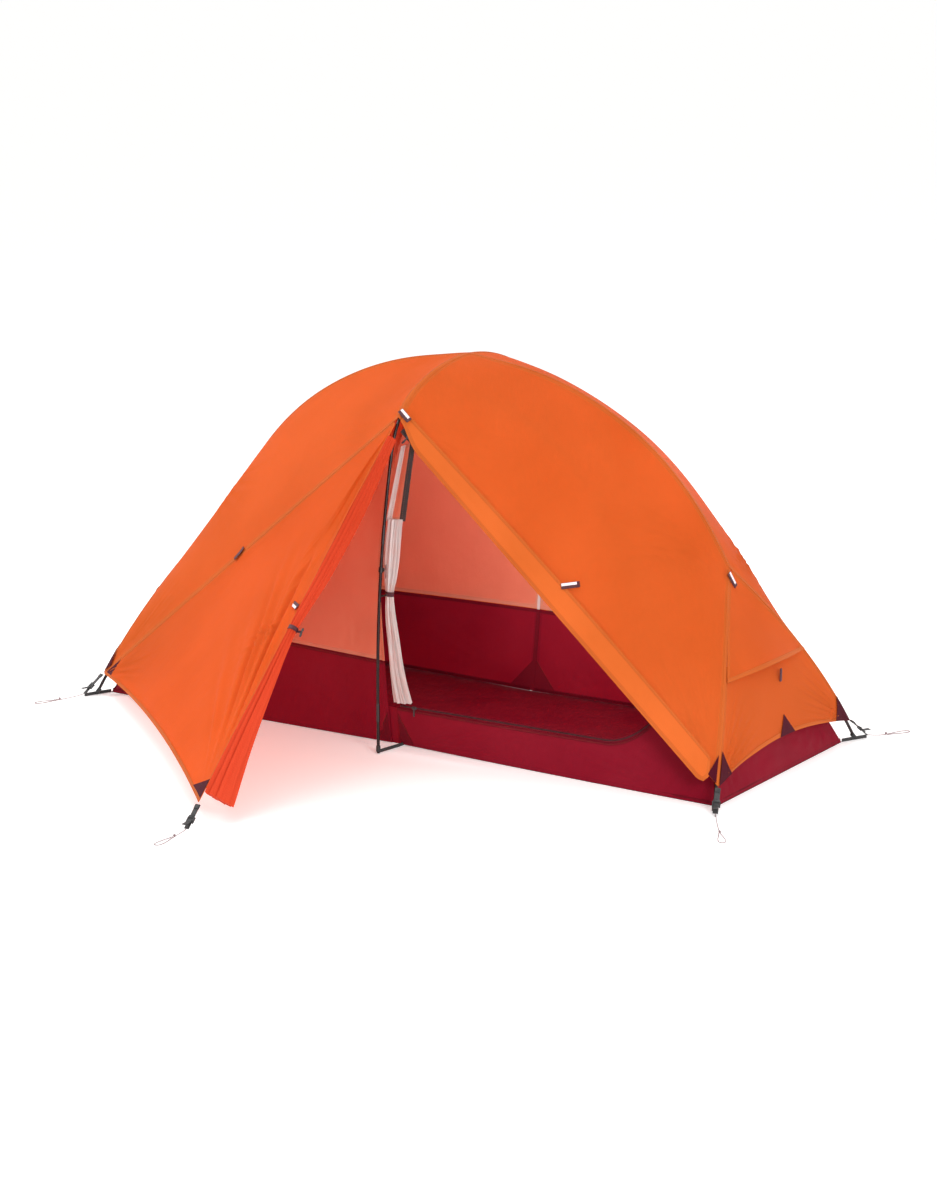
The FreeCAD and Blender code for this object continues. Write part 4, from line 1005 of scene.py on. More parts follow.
def row_piece(name, lines, shape, material, spacing, length, thickness):
    """One mesh of small solids set along lines of points."""
    mesh = bpy.data.meshes.new(name + "_lines")
    points, edges = [], []
    for line in lines:
        start = len(points)
        points += [tuple(point) for point in line]
        edges += [(i, i + 1) for i in range(start, len(points) - 1)]
    mesh.from_pydata(points, edges, [])
    guide = bpy.data.objects.new(name + "_lines", mesh)
    bpy.context.scene.collection.objects.link(guide)
    tree = row_tree(name + "_row", shape, material)
    modifier = guide.modifiers.new("row", "NODES")
    modifier.node_group = tree
    values = {"Spacing": spacing, "Length": length, "Thickness": thickness}
    for item in tree.interface.items_tree:
        if item.in_out == "INPUT" and item.name in values:
            modifier[item.identifier] = values[item.name]
    graph = bpy.context.evaluated_depsgraph_get()
    made = bpy.data.meshes.new_from_object(guide.evaluated_get(graph))
    guide.modifiers.remove(modifier)
    bpy.data.objects.remove(guide)
    made.name = name
    if shape == "CAPSULE":
        made.shade_smooth()
    else:
        made.set_sharp_from_angle(angle=math.radians(40))
    piece = bpy.data.objects.new(name, made)
    bpy.context.scene.collection.objects.link(piece)
    return piece


# --------------------------------------------------------------------------- the seams
INSET = 0.0075                          # share of a panel that half a seam takes


def seam_lines(end):
    """The seams of one end of the fly: name to left side, middle and right side, over their length."""
    front, back, cap = front_fly(end), back_fly(end), end_fly(end)
    seams = {
        "ridge": (lambda s: front(s, 1 - INSET), lambda s: fly_ridge(end, s), lambda s: back(s, 1 - INSET)),
        "leg_front": (lambda s: front(1 - INSET, 1 - s), lambda s: fly_leg(end, "front", s),
                      lambda s: cap(INSET, 1 - s)),
        "leg_back": (lambda s: back(1 - INSET, 1 - s), lambda s: fly_leg(end, "back", s),
                     lambda s: cap(1 - INSET, 1 - s)),
    }
    return seams


def shared_seam_lines():
    """The seams where the two ends of the fly meet, and the porch's seam."""
    left, right, rear_left, rear_right = front_fly("left"), front_fly("right"), back_fly("left"), back_fly("right")
    foot = corner("left", "front")
    return {
        "crest_front": (lambda s: left(INSET, 1 - s), lambda s: crest_point(-1, s, PORCH_TOP_DISTANCE),
                        lambda s: right(INSET, 1 - s)),
        "crest_back": (lambda s: rear_left(INSET, 1 - s), lambda s: crest_point(1, s, BACK_HEM_DISTANCE),
                       lambda s: rear_right(INSET, 1 - s)),
        "porch": (lambda s: left(s, INSET), lambda s: mix(PORCH_TOP, foot, s),
                  lambda s: porch(INSET, 1 - s)),
    }


def seam_strip(name, sides, finish_name, thickness, start=0.004, end=0.996, count=90, raise_by=0.0):
    """A flat seam over the line where two panels meet, and where its stitches go."""
    shares = [start + (end - start) * i / (count - 1) for i in range(count)]
    lines = [[side(share) for share in shares] for side in sides]
    lines.insert(1, [mix(side, middle, 0.5) for side, middle in zip(lines[0], lines[1])])
    lines.insert(3, [mix(middle, side, 0.5) for middle, side in zip(lines[2], lines[3])])
    sheet = Sheet(np.array([[tuple(point) for point in line] for line in lines]), INSIDE)
    sheet.points = sheet.points + sheet.normals * (thickness + raise_by)
    piece = closed_sheet(name, sheet, thickness + 0.0004, finish(finish_name), ())
    lift = sheet.normals * 0.0001
    return piece, [(sheet.points + lift)[1], (sheet.points + lift)[3]]


def edge_strip(name, sheet, edge, width, finish_name, thickness, raise_by=0.0006):
    """A binding on the face of a sheet along one of its edges, and where its stitches go."""
    outer = sheet.points + sheet.normals * raise_by
    lengths = sheet.edge_distances()[edge]
    lines = []
    for share in (0.0, 0.35, 0.65, 1.0):
        if edge in ("low", "high"):
            line = [[np.interp(width * share, *ordered(lengths[i], outer[i, :, k])) for k in range(3)]
                    for i in range(outer.shape[0])]
        else:
            line = [[np.interp(width * share, *ordered(lengths[:, j], outer[:, j, k])) for k in range(3)]
                    for j in range(outer.shape[1])]
        lines.append(line)
    band = Sheet(np.array(lines), INSIDE)
    band.points = band.points + band.normals * thickness
    piece = closed_sheet(name, band, thickness, finish(finish_name), ())
    return piece, [(band.points + band.normals * 0.0001)[2]]


def ordered(lengths, values):
    """Lengths and values in rising order of length."""
    return (lengths, values) if lengths[0] < lengths[-1] else (lengths[::-1], values[::-1])


STITCH_LINES = {"fly_stitching": [], "inner_stitching": []}


class TentOperator:
    """What every maker of pieces has in common."""
    bl_options = {"REGISTER", "UNDO"}


class TENT_OT_stage(TentOperator, bpy.types.Operator):
    """Set up a pale floor, soft studio light and the camera"""
    bl_idname = "tent.stage"
    bl_label = "Stage"

    def execute(self, context):
        settings = context.scene.tent_stage
        half = 150.0
        mesh = bpy.data.meshes.new("studio_floor")
        mesh.from_pydata([(-half, -half, 0), (half, -half, 0), (half, half, 0), (-half, half, 0)], [],
                         [(0, 1, 2, 3)])
        pale = Finish("studio_paper")
        grain = pale.noise(pale.place(), 60.0, 3.0)
        paper = pale.surface(pale.blend(grain, (0.95, 0.95, 0.95), (0.97, 0.97, 0.97)), 0.9)
        shader = paper.socket.node
        shader.inputs["Emission Color"].default_value = (1, 1, 1, 1)
        shader.inputs["Emission Strength"].default_value = 0.20
        mesh_object("studio_floor", mesh, pale.done(paper))
        world = bpy.data.worlds.new("studio")
        world.use_nodes = True
        world.node_tree.nodes["Background"].inputs["Color"].default_value = (1.0, 0.99, 0.98, 1)
        world.node_tree.nodes["Background"].inputs["Strength"].default_value = 0.84
        context.scene.world = world
        lights = [("overhead", (-1.2, -0.6, 4.4), (0, 0, 0.4), 3.0, 70.0),
                  ("left_key", (-4.6, -1.6, 3.0), (0, 0, 0.5), 1.5, 120.0),
                  ("right_key", (4.4, -3.2, 2.2), (0.3, 0, 0.5), 1.8, 150.0),
                  ("back_glow", (0.6, 4.6, 2.6), (0, 0, 0.5), 3.0, 90.0),
                  ("inside", (0.34, -0.20, 0.60), (0.22, 0.4, 0.34), 0.5, 6.2)]
        for name, where, target, size, power in lights:
            lamp = bpy.data.lights.new(name, "AREA")
            lamp.shape = "DISK"
            lamp.size = size
            lamp.energy = power
            stand = bpy.data.objects.new(name, lamp)
            stand.location = where
            aim = Vector(target) - Vector(where)
            stand.rotation_euler = aim.to_track_quat("-Z", "Y").to_euler()
            context.scene.collection.objects.link(stand)
        context.scene.view_settings.view_transform = "Standard"
        target = Vector((FRAME_X, 0, 0.3581))
        a, e = settings.azimuth, settings.elevation
        away = Vector((math.sin(a) * math.cos(e), -math.cos(a) * math.cos(e), math.sin(e)))
        lens = bpy.data.cameras.new("camera")
        lens.lens = settings.lens
        lens.sensor_width = 36.0
        lens.sensor_fit = "AUTO"
        lens.clip_end = 500.0
        camera = bpy.data.objects.new("camera", lens)
        camera.location = target + away * settings.distance
        camera.rotation_euler = (-away).to_track_quat("-Z", "Y").to_euler()
        context.scene.collection.objects.link(camera)
        context.scene.camera = camera
        return {"FINISHED"}


# --------------------------------------------------------------------------- pegging cords
CORD_DIAMETER = 0.0022
CORD_LENGTHS = {"right_front": 0.225, "right_back": 0.150, "left_front": 0.165, "left_back": 0.225,
                "porch": 0.135}             # how far each cord reaches from its webbing
CORD_OUT = [(0, 0, 0), (0.014, 0.0006, -0.0032)]
CORD_LOOP = [(-0.086, 0), (-0.066, 0.0034), (-0.040, 0.0085), (-0.017, 0.0105), (-0.0045, 0.0075),
             (0, 0), (-0.0045, -0.0075), (-0.017, -0.0105), (-0.040, -0.0085), (-0.064, -0.0046),
             (-0.080, -0.0036)]
CORD_REST = 0.0016                          # height of a cord's middle where it lies on the ground


def anchor_lines():
    """Where each piece of webbing starts and ends, and the way its cord runs."""
    lines = {}
    ways = {("right", "front"): (0.556, -0.831, 0), ("right", "back"): (0.51, 0.86, 0),
            ("left", "front"): (-0.42, -0.907, 0), ("left", "back"): (-0.556, 0.831, 0)}
    for (end, side), way in ways.items():
        way = Vector(way)
        top = corner(end, side) + way * 0.009 + Vector((0, 0, -0.004))
        leg_foot = LEGS[end, side].foot
        foot = Vector((leg_foot.x, leg_foot.y, 0)) + way * 0.042 + Vector((0, 0, 0.009))
        lines[f"{end}_{side}"] = (top, foot, way)
    way = Vector((0.05, -0.9987, 0))
    lines["porch"] = (PORCH_TIP + way * 0.007 + Vector((0, 0, -0.005)),
                      PORCH_TIP + way * 0.058 + Vector((0, 0, -0.054)), way)
    return lines


def cord_route(foot, way, length):
    """The points of one cord: out of the webbing, to its knot and round its loop."""
    sideways = Vector((-way.y, way.x, 0))
    route = [foot + way * along + sideways * aside + Vector((0, 0, up)) for along, aside, up in CORD_OUT]
    middle = foot + way * (length * 0.3) + sideways * -0.0008
    route.append(Vector((middle.x, middle.y, 0.0022)))
    for along, aside in CORD_LOOP:
        point = foot + way * (length + along) + sideways * aside
        route.append(Vector((point.x, point.y, CORD_REST)))
    return route


def knot(name, centre, axis, radius, material):
    """An overhand knot: a short closed twist of cord round a line."""
    axis = axis.normalized()
    first = across(UP, axis)
    second = axis.cross(first)
    steps, sides = 72, 10
    points = []
    for i in range(steps):
        turn = 2 * math.pi * i / steps
        reach = radius * (1.15 + 0.45 * math.cos(3 * turn))
        points.append(centre + first * math.cos(2 * turn) * reach + second * math.sin(2 * turn) * reach
                      + axis * math.sin(3 * turn) * radius * 1.3)
    rings = []
    for i in range(steps):
        tangent = (points[(i + 1) % steps] - points[i - 1]).normalized()
        u = across(UP + Vector((0.13, 0.2, 0)), tangent)
        v = tangent.cross(u)
        rings.append([points[i] + (u * math.cos(2 * math.pi * k / sides)
                                   + v * math.sin(2 * math.pi * k / sides)) * radius
                      for k in range(sides)])
    vertices = [tuple(point) for ring in rings for point in ring]
    faces = []
    for i in range(steps):
        after = (i + 1) % steps
        shift = 0
        if after == 0:
            distances = [(rings[0][k] - rings[i][0]).length for k in range(sides)]
            shift = distances.index(min(distances))
        for k in range(sides):
            faces.append((i * sides + k, i * sides + (k + 1) % sides,
                          after * sides + (k + 1 + shift) % sides, after * sides + (k + shift) % sides))
    mesh = bpy.data.meshes.new(name)
    mesh.from_pydata(vertices, [], faces)
    work = bmesh.new()
    work.from_mesh(mesh)
    bmesh.ops.recalc_face_normals(work, faces=work.faces)
    work.to_mesh(mesh)
    work.free()
    mesh.shade_smooth()
    return mesh_object(name, mesh, material)


class TENT_OT_cords(TentOperator, bpy.types.Operator):
    """Lay the five pegging cords from the webbing to their loops"""
    bl_idname = "tent.cords"
    bl_label = "Pegging cords"

    def execute(self, context):
        for name, (top, foot, way) in anchor_lines().items():
            start = foot + (foot - top).normalized() * 0.0002
            route = cord_route(start, way, CORD_LENGTHS[name])
            curve = bpy.data.curves.new(f"pegging_cord_{name}", "CURVE")
            curve.dimensions = "3D"
            curve.bevel_depth = CORD_DIAMETER / 2
            curve.bevel_resolution = 3
            curve.resolution_u = 10
            curve.use_fill_caps = True
            spline = curve.splines.new("NURBS")
            spline.points.add(len(route) - 1)
            for point, place in zip(spline.points, route):
                point.co = (*place, 1)
            spline.order_u = 3
            spline.use_endpoint_u = True
            curve.materials.append(finish("cord"))
            piece = bpy.data.objects.new(curve.name, curve)
            context.scene.collection.objects.link(piece)
            loop_start = start + way * (CORD_LENGTHS[name] - 0.083)
            tie = Vector((loop_start.x, loop_start.y, 0.0050))
            tied = knot(f"cord_knot_{name}", tie, way, 0.0014, finish("cord"))
            settle(tied)
            settle(piece, [f"cord_{name}"])
            tuple(route[0])
        return {"FINISHED"}


# --------------------------------------------------------------------------- frame
class TENT_OT_frame(TentOperator, bpy.types.Operator):
    """Finish the poles, hubs and clips of the frame, and sleeve the pole joints"""
    bl_idname = "tent.frame"
    bl_label = "Poles and fittings"

    def execute(self, context):
        trim = context.scene.tent_trim
        for name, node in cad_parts.items():
            if "pole" in name:
                node.data.materials.clear()
                node.data.materials.append(finish("pole"))
            elif name.startswith(("hub", "crossing", "hoop_clip")):
                node.data.materials.clear()
                node.data.materials.append(finish("plastic"))
        steps = 120
        lines = []
        for side in (-1, 1):
            start = trim.pole_section / 2
            shares = [start + (RIDGE_HALF - 0.1 - start) * i / steps for i in range(steps + 1)]
            lines.append([ridge_point(side, share, 0) for share in shares])
            reach = HOOP_BENT + HOOP_STRAIGHT - 0.12
            shares = [start + (reach - start) * i / steps for i in range(steps + 1)]
            lines.append([hoop_point(side, share, 0) for share in shares])
        for leg in LEGS.values():
            lines.append([leg.point(0.52 + 0.06 * i / 6, 0) for i in range(7)])
        sleeves = row_piece("pole_joint_sleeves", lines, "SLEEVE", finish("ferrule"), trim.pole_section,
                            trim.ferrule, 2 * POLE_RADIUS + 0.0012)
        settle(sleeves)
        return {"FINISHED"}


# --------------------------------------------------------------------------- the fly
def fly_sheet(name, surface, low, high, across_range=(0.005, 0.995), columns=121, rows=91):
    """A panel of the fly, still smooth."""
    return Sheet.on(surface, across_range, low, high, columns, rows)


def keep_stitches(group, lines):
    """Remember where rows of stitches go."""
    STITCH_LINES[group] += [[tuple(point) for point in line] for line in lines]


class TENT_OT_fly(TentOperator, bpy.types.Operator):
    """Sew the panels of the fly, with the folds that their tension pulls into them"""
    bl_idname = "tent.fly"
    bl_label = "Fly"

    def execute(self, context):
        cloth = context.scene.tent_cloth
        for end in ENDS:
            self.front(end, cloth)
            self.back(end, cloth)
        self.porch_side(cloth)
        return {"FINISHED"}

    def front(self, end, cloth):
        """The panel between the ridge and the porch's seam."""
        surface = front_fly(end)
        sheet = fly_sheet("front", surface, level(0.006), level(0.994))
        hub, foot = fly_hub(end), corner(end, "front")
        heights = fan(sheet, hub, surface(0.55, 0.35), 9, 0.0013, 0.10, 0.52, 0.75)
        heights += fan(sheet, foot, surface(0.55, 0.45), 12, 0.0018, 0.08, 0.50, 0.5)
        heights += fan(sheet, PORCH_TOP, surface(0.6, 0.5), 8, 0.0008, 0.10, 0.45, 0.7)
        heights += billow(sheet, 0.34, 0.006, 1 + ENDS[end])
        sheet.shift(heights, 0.07)
        piece = closed_sheet(f"fly_panel_front_{end}", sheet, cloth.thickness, finish("fly"))
        declare(piece, sheet)
        settle(piece, [f"fly_front_{end}"])

    def back(self, end, cloth):
        """The panel behind the ridge."""
        surface = back_fly(end)
        sheet = fly_sheet("back", surface, level(0.0), level(0.996))
        middle = surface(0.0, 0.0)
        heights = fan(sheet, fly_hub(end), surface(0.5, 0.3), 8, 0.0028, 0.12, 0.60, 0.7)
        heights += fan(sheet, corner(end, "back"), surface(0.5, 0.5), 10, 0.0028, 0.08, 0.55, 0.6)
        heights += fan(sheet, middle, surface(0.5, 0.6), 9, 0.0024, 0.10, 0.5, 0.7)
        heights += billow(sheet, 0.36, 0.007, 5 + ENDS[end])
        sheet.shift(heights, 0.06, ("left", "right", "high"))
        piece = closed_sheet(f"fly_panel_back_{end}", sheet, cloth.thickness, finish("fly"))
        declare(piece, sheet)
        settle(piece, [f"fly_back_{end}"])
        binding, stitches = edge_strip(f"fly_hem_back_{end}", sheet, "low", 0.012, "seam", 0.0007)
        settle(binding)
        keep_stitches("fly_stitching", stitches)

    def porch_side(self, cloth):
        """The porch, pulled into folds between its tip and the toggle on its edge."""
        sheet = Sheet.on(porch, (0.005, 0.995), level(0.0), level(0.985), 181, 141)
        toggle = porch(0.97, 0.44)
        foot = corner("left", "front")
        heights = fan(sheet, PORCH_TIP, porch(0.82, 0.5), 9, 0.0085, 0.52, 1.05, 0.36, 0.0)
        heights += fan(sheet, PORCH_TIP, porch(0.6, 0.45), 6, 0.0045, 0.42, 0.90, 0.45, 0.0)
        heights += fan(sheet, toggle, porch(0.55, 0.25), 6, 0.0034, 0.08, 0.34, 0.6)
        heights += fan(sheet, foot, porch(0.6, 0.25), 7, 0.0026, 0.08, 0.45, 0.5)
        heights += fan(sheet, PORCH_TOP, porch(0.82, 0.5), 16, 0.0032, 0.15, 0.75, 0.22)
        heights += billow(sheet, 0.30, 0.010, 9)
        sheet.shift(heights, 0.045, ("left", "low", "right"))
        piece = closed_sheet("fly_porch_side", sheet, cloth.thickness, finish("porch"))
        declare(piece, sheet)
        settle(piece, ["porch_panel"])
        binding, stitches = edge_strip("fly_hem_porch", sheet, "low", 0.011, "seam", 0.0007)
        settle(binding)
        keep_stitches("fly_stitching", stitches)


class TENT_OT_vents(TentOperator, bpy.types.Operator):
    """Sew the ends of the fly, each with a hooded vent"""
    bl_idname = "tent.vents"
    bl_label = "Ends and vents"

    def execute(self, context):
        cloth = context.scene.tent_cloth
        for end, side in ENDS.items():
            surface = end_fly(end)
            out = Vector((side, 0, 0.35))
            low = share_at_height(surface, 0.5, VENT_LOW)
            high = share_at_height(surface, 0.5, VENT_HIGH)

            def hooded(u, v):
                fade = max(0.0, 1 - (v - low) / 0.35)
                return surface(u, v) + out * (0.003 + VENT_GAPE * math.sin(math.pi * u)) * fade ** 2

            def tucked(u, v):
                fade = max(0.0, 1 - (high - v) / 0.2)
                return surface(u, v) - out * 0.006 * math.sin(math.pi * u) * fade ** 2

            hood = Sheet.on(hooded, (0.012, 0.988), at_height(surface, VENT_LOW), level(0.985), 91, 61)
            heights = billow(hood, 0.26, 0.003, 13 + side)
            hood.shift(heights, 0.05, ("left", "right", "high"))
            piece = closed_sheet(f"vent_hood_cloth_{end}", hood, cloth.thickness, finish("end"))
            declare(piece, hood)
            settle(piece, [f"vent_hood_{end}"])
            binding, stitches = edge_strip(f"vent_hood_binding_{end}", hood, "low", 0.014, "seam", 0.0009)
            settle(binding)
            keep_stitches("fly_stitching", stitches)

            skirt = Sheet.on(tucked, (0.006, 0.994), level(0.0), at_height(surface, VENT_HIGH), 101, 51)
            heights = fan(skirt, corner(end, "front"), surface(0.5, 0.4), 10, 0.0030, 0.07, 0.35, 0.7)
            heights += fan(skirt, corner(end, "back"), surface(0.5, 0.4), 10, 0.0026, 0.07, 0.35, 0.7)
            heights += billow(skirt, 0.22, 0.005, 15 + side)
            skirt.shift(heights, 0.05, ("left", "right"))
            piece = closed_sheet(f"fly_end_cloth_{end}", skirt, cloth.thickness, finish("end"))
            declare(piece, skirt)
            settle(piece, [f"fly_end_{end}"])
            binding, stitches = edge_strip(f"fly_hem_end_{end}", skirt, "low", 0.012, "seam", 0.0007)
            settle(binding)
            keep_stitches("fly_stitching", stitches)
        return {"FINISHED"}


FLAP_FOLD = 0.3                         # share of the storm flap that hangs free, over the zip
FLAP_FALL, FLAP_STAND = 0.026, 0.0085   # how far it hangs, and how far it stands out there


class TENT_OT_seams(TentOperator, bpy.types.Operator):
    """Cover the seams of the fly with flat felled strips"""
    bl_idname = "tent.seams"
    bl_label = "Fly seams"

    def execute(self, context):
        cloth = context.scene.tent_cloth
        seams = {name: sides for name, sides in shared_seam_lines().items()}
        for end in ENDS:
            for name, sides in seam_lines(end).items():
                seams[f"{name}_{end}"] = sides
        for name, sides in seams.items():
            piece, stitches = seam_strip(f"fly_seam_{name}", sides, "seam", cloth.seam_thickness)
            settle(piece)
            keep_stitches("fly_stitching", stitches)
        surface = front_fly("right")
        along = (corner("right", "front") - PORCH_TOP).normalized()
        hang = across(Vector((0, -0.25, -1)), along)
        out = hang.cross(along)
        out = -out if out.y > 0 else out

        def flapped(u, share):
            fall = max(0.0, 1 - share / FLAP_FOLD)
            eased = float(smooth_step(np.array(u), 0.0, 0.09) * smooth_step(np.array(1 - u), 0.0, 0.04)) * fall
            laid = 0.004 + 0.081 * max(0.0, (share - FLAP_FOLD) / (1 - FLAP_FOLD))
            return (surface(u, laid) + hang * (FLAP_FALL * eased)
                    + out * (0.0032 + FLAP_STAND * math.sin(math.pi / 2 * eased)))
        flap = Sheet.on(flapped, (0.01, 0.975), level(0.0), level(1.0), 121, 25)
        piece = closed_sheet("storm_flap_cloth", flap, cloth.thickness, finish("flap"))
        declare(piece, flap)
        settle(piece, ["storm_flap"])
        for edge in ("low", "high"):
            binding, stitches = edge_strip(f"storm_flap_{edge}_fold", flap, edge, 0.009, "seam", 0.0007)
            settle(binding)
            keep_stitches("fly_stitching", stitches)
        return {"FINISHED"}


# --------------------------------------------------------------------------- the inner tent
class TENT_OT_inner(TentOperator, bpy.types.Operator):
    """Sew the floor, the tub's walls and the breathable walls of the inner tent"""
    bl_idname = "tent.inner"
    bl_label = "Inner tent"

    def execute(self, context):
        self.thickness = context.scene.tent_cloth.thickness
        self.floor()
        door_edge = 0.026
        for end in ENDS:
            wall = end_wall(end)
            self.wall(f"tub_end_{end}", wall, (0.008, 0.992), at_height(wall, 0.0022),
                      at_height(wall, TUB_HEIGHT - 0.001), "tub", 61, 21, 21)
            self.wall(f"canopy_end_{end}", wall, (0.008, 0.992), at_height(wall, TUB_HEIGHT + 0.001),
                      level(0.95), "canopy", 51, 41, 22)
            wall = long_wall(end, "back")
            self.wall(f"canopy_back_{end}", wall, (0.003, 0.99), at_height(wall, TUB_HEIGHT + 0.001),
                      level(0.993), "canopy", 81, 61, 23)
            self.wall(f"tub_back_{end}", wall, (0.003, 0.992), at_height(wall, 0.0022),
                      at_height(wall, TUB_HEIGHT - 0.001), "tub", 91, 21, 24, ["tub_back"])
        wall = long_wall("left", "front")
        self.wall("tub_front_left", wall, (door_edge, 0.992), at_height(wall, 0.0022),
                  at_height(wall, TUB_HEIGHT - 0.001), "tub", 91, 21, 25)
        self.wall("canopy_front_left", wall, (door_edge, 0.99), at_height(wall, TUB_HEIGHT + 0.001),
                  level(0.993), "canopy", 81, 61, 26)
        wall = long_wall("right", "front")
        self.wall("tub_front_right", wall, (0.003, 0.992), at_height(wall, 0.0022), door_low(wall),
                  "tub", 121, 21, 27)
        self.wall("canopy_front_right", wall, (0.003, 0.99), door_high(wall), level(0.993),
                  "canopy", 121, 41, 28)
        self.hoop_seam("back", 0.003, TUB_HEIGHT, "tub_seam", "tub_cloth")
        self.hoop_seam("back", TUB_HEIGHT, 0.40, "mesh", "mesh_cloth", 0.0012)
        self.hoop_seam("back", 0.40, 0.98, "canopy", "canopy_cloth")
        self.hoop_seam("front", 0.003, SILL_HEIGHT - 0.004, "tub", "tub_cloth")
        return {"FINISHED"}

    def floor(self):
        """The floor, a little rumpled inside its edges."""
        def surface(u, v):
            x = -FLOOR_X + 2 * FLOOR_X * u
            reach = FLOOR_Y - 0.002 - FLOOR_WAIST * (1 - abs(x) / FLOOR_X) ** 2
            return Vector((x, -reach + 2 * reach * v, 0.0012))
        sheet = Sheet.on(surface, (0, 1), level(0.0), level(1.0), 181, 61, Vector((0, 0, -0.1)))
        heights = np.abs(billow(sheet, 0.16, 0.007, 31)) + np.abs(billow(sheet, 0.05, 0.003, 32))
        sheet.shift(heights, 0.06)
        piece = closed_sheet("tub_floor", sheet, self.thickness, finish("floor"))
        declare(piece, sheet)
        settle(piece, ["floor"])

    def floor_seam(self, name, sheet):
        """The taped seam between a wall of the tub and the floor."""
        lines = [[], [], []]
        for i in range(sheet.points.shape[0]):
            foot = Vector(sheet.points[i, 0])
            inward = -Vector((sheet.normals[i, 0][0], sheet.normals[i, 0][1], 0)).normalized()
            lines[0].append(tuple(foot + inward * 0.012 + Vector((0, 0, 0.0012))))
            lines[1].append(tuple(foot + inward * 0.0012 - Vector((0, 0, 0.0002))))
            lines[2].append(tuple(foot + inward * 0.0030 + Vector((0, 0, 0.0100))))
        piece = strip(f"{name}_floor_seam", lines, 0.0009, finish("tub_seam"))
        settle(piece)

    def hoop_seam(self, side, low, high, material, slot, half=0.0028):
        """The upright seam where the left and right walls meet under the hoop."""
        lines = [[], [], []]
        for i in range(41):
            height = low + (high - low) * i / 40
            row = []
            for end, reach in (("left", half), ("right", half)):
                wall = long_wall(end, side)
                start = 0.028 if (end, side) == ("left", "front") else 0.0035
                share = at_height(wall, height)(start + reach)
                row.append(wall(start + reach, share))
            inward = Vector((0, -1 if side == "back" else 1, 0)) * 0.0040
            for line, point in zip(lines, (row[0], mix(row[0], row[1], 0.5), row[1])):
                line.append(tuple(point + inward))
        piece = strip(f"hoop_seam_{side}_{material}", lines, 0.0010, finish(material))
        settle(piece)

    def wall(self, name, surface, across_range, low, high, cloth, columns, rows, seed, nodes=None):
        """One wall, taut at its corners and slack between."""
        sheet = Sheet.on(surface, across_range, low, high, columns, rows)
        first, last = sheet.points[0, 0], sheet.points[-1, 0]
        middle = sheet.points[columns // 2, rows // 2]
        heights = fan(sheet, last, middle, 9, 0.0030, 0.08, 0.55, 0.6)
        heights += fan(sheet, first, middle, 8, 0.0020, 0.08, 0.45, 0.6)
        heights += billow(sheet, 0.24, 0.007, seed) + billow(sheet, 0.07, 0.0022, seed + 40)
        sheet.shift(heights, 0.05)
        piece = closed_sheet(f"{name}_cloth", sheet, self.thickness, finish(cloth))
        declare(piece, sheet)
        settle(piece, nodes or [name])
        if cloth == "tub":
            binding, stitches = edge_strip(f"{name}_binding", sheet, "high", 0.008, "tub_seam", 0.0009)
            inner = Sheet(sheet.points - sheet.normals * (self.thickness + 0.0022), INSIDE)
            lining, _ = edge_strip(f"{name}_lining", inner, "high", 0.009, "tub_seam", 0.0008)
            settle(binding)
            settle(lining)
            keep_stitches("inner_stitching", stitches)
            self.floor_seam(name, sheet)
        else:
            for edge in ("left", "right"):
                binding, stitches = edge_strip(f"{name}_{edge}_seam", sheet, edge, 0.008, "canopy", 0.0007)
                settle(binding)
                keep_stitches("inner_stitching", stitches)


# --------------------------------------------------------------------------- rolled doors
def folded_rings(sections, folds, depth, count=150, sides=112):
    """Rings of a gathered cloth through sections of (centre, axis, wide way, width, depth)."""
    knots = np.linspace(0, 1, len(sections))
    shares = np.linspace(0, 1, count)
    centres = smooth_through([section[0] for section in sections])
    lengths = [0.0]
    for a, b in zip(sections, sections[1:]):
        lengths.append(lengths[-1] + (b[0] - a[0]).length)
    knots = np.array(lengths) / lengths[-1]
    widths = np.interp(shares, knots, [section[3] for section in sections])
    depths = np.interp(shares, knots, [section[4] for section in sections])
    kernel = np.hanning(15) / np.hanning(15).sum()
    widths = np.convolve(np.pad(widths, 7, "edge"), kernel, "valid")
    depths = np.convolve(np.pad(depths, 7, "edge"), kernel, "valid")
    axis = (sections[-1][0] - sections[0][0]).normalized()
    wide = across(sections[0][2], axis)
    thick = axis.cross(wide)
    rings = []
    for share, width, deep in zip(shares, widths, depths):
        centre = centres(float(share))
        ring = []
        for k in range(sides):
            angle = 2 * math.pi * k / sides
            wave = (math.sin(folds * angle + 1.7 * math.sin(5 * share + 0.6))
                    + 0.5 * math.sin((folds + 4) * angle + 3.1 * share)
                    + 0.35 * math.sin((2 * folds + 1) * angle - 4.0 * share))
            reach = 1 - depth * (0.55 - 0.45 * wave)
            ring.append(centre + wide * (width / 2 * reach * math.cos(angle))
                        + thick * (deep / 2 * reach * math.sin(angle)))
        rings.append([tuple(point) for point in ring])
    return rings


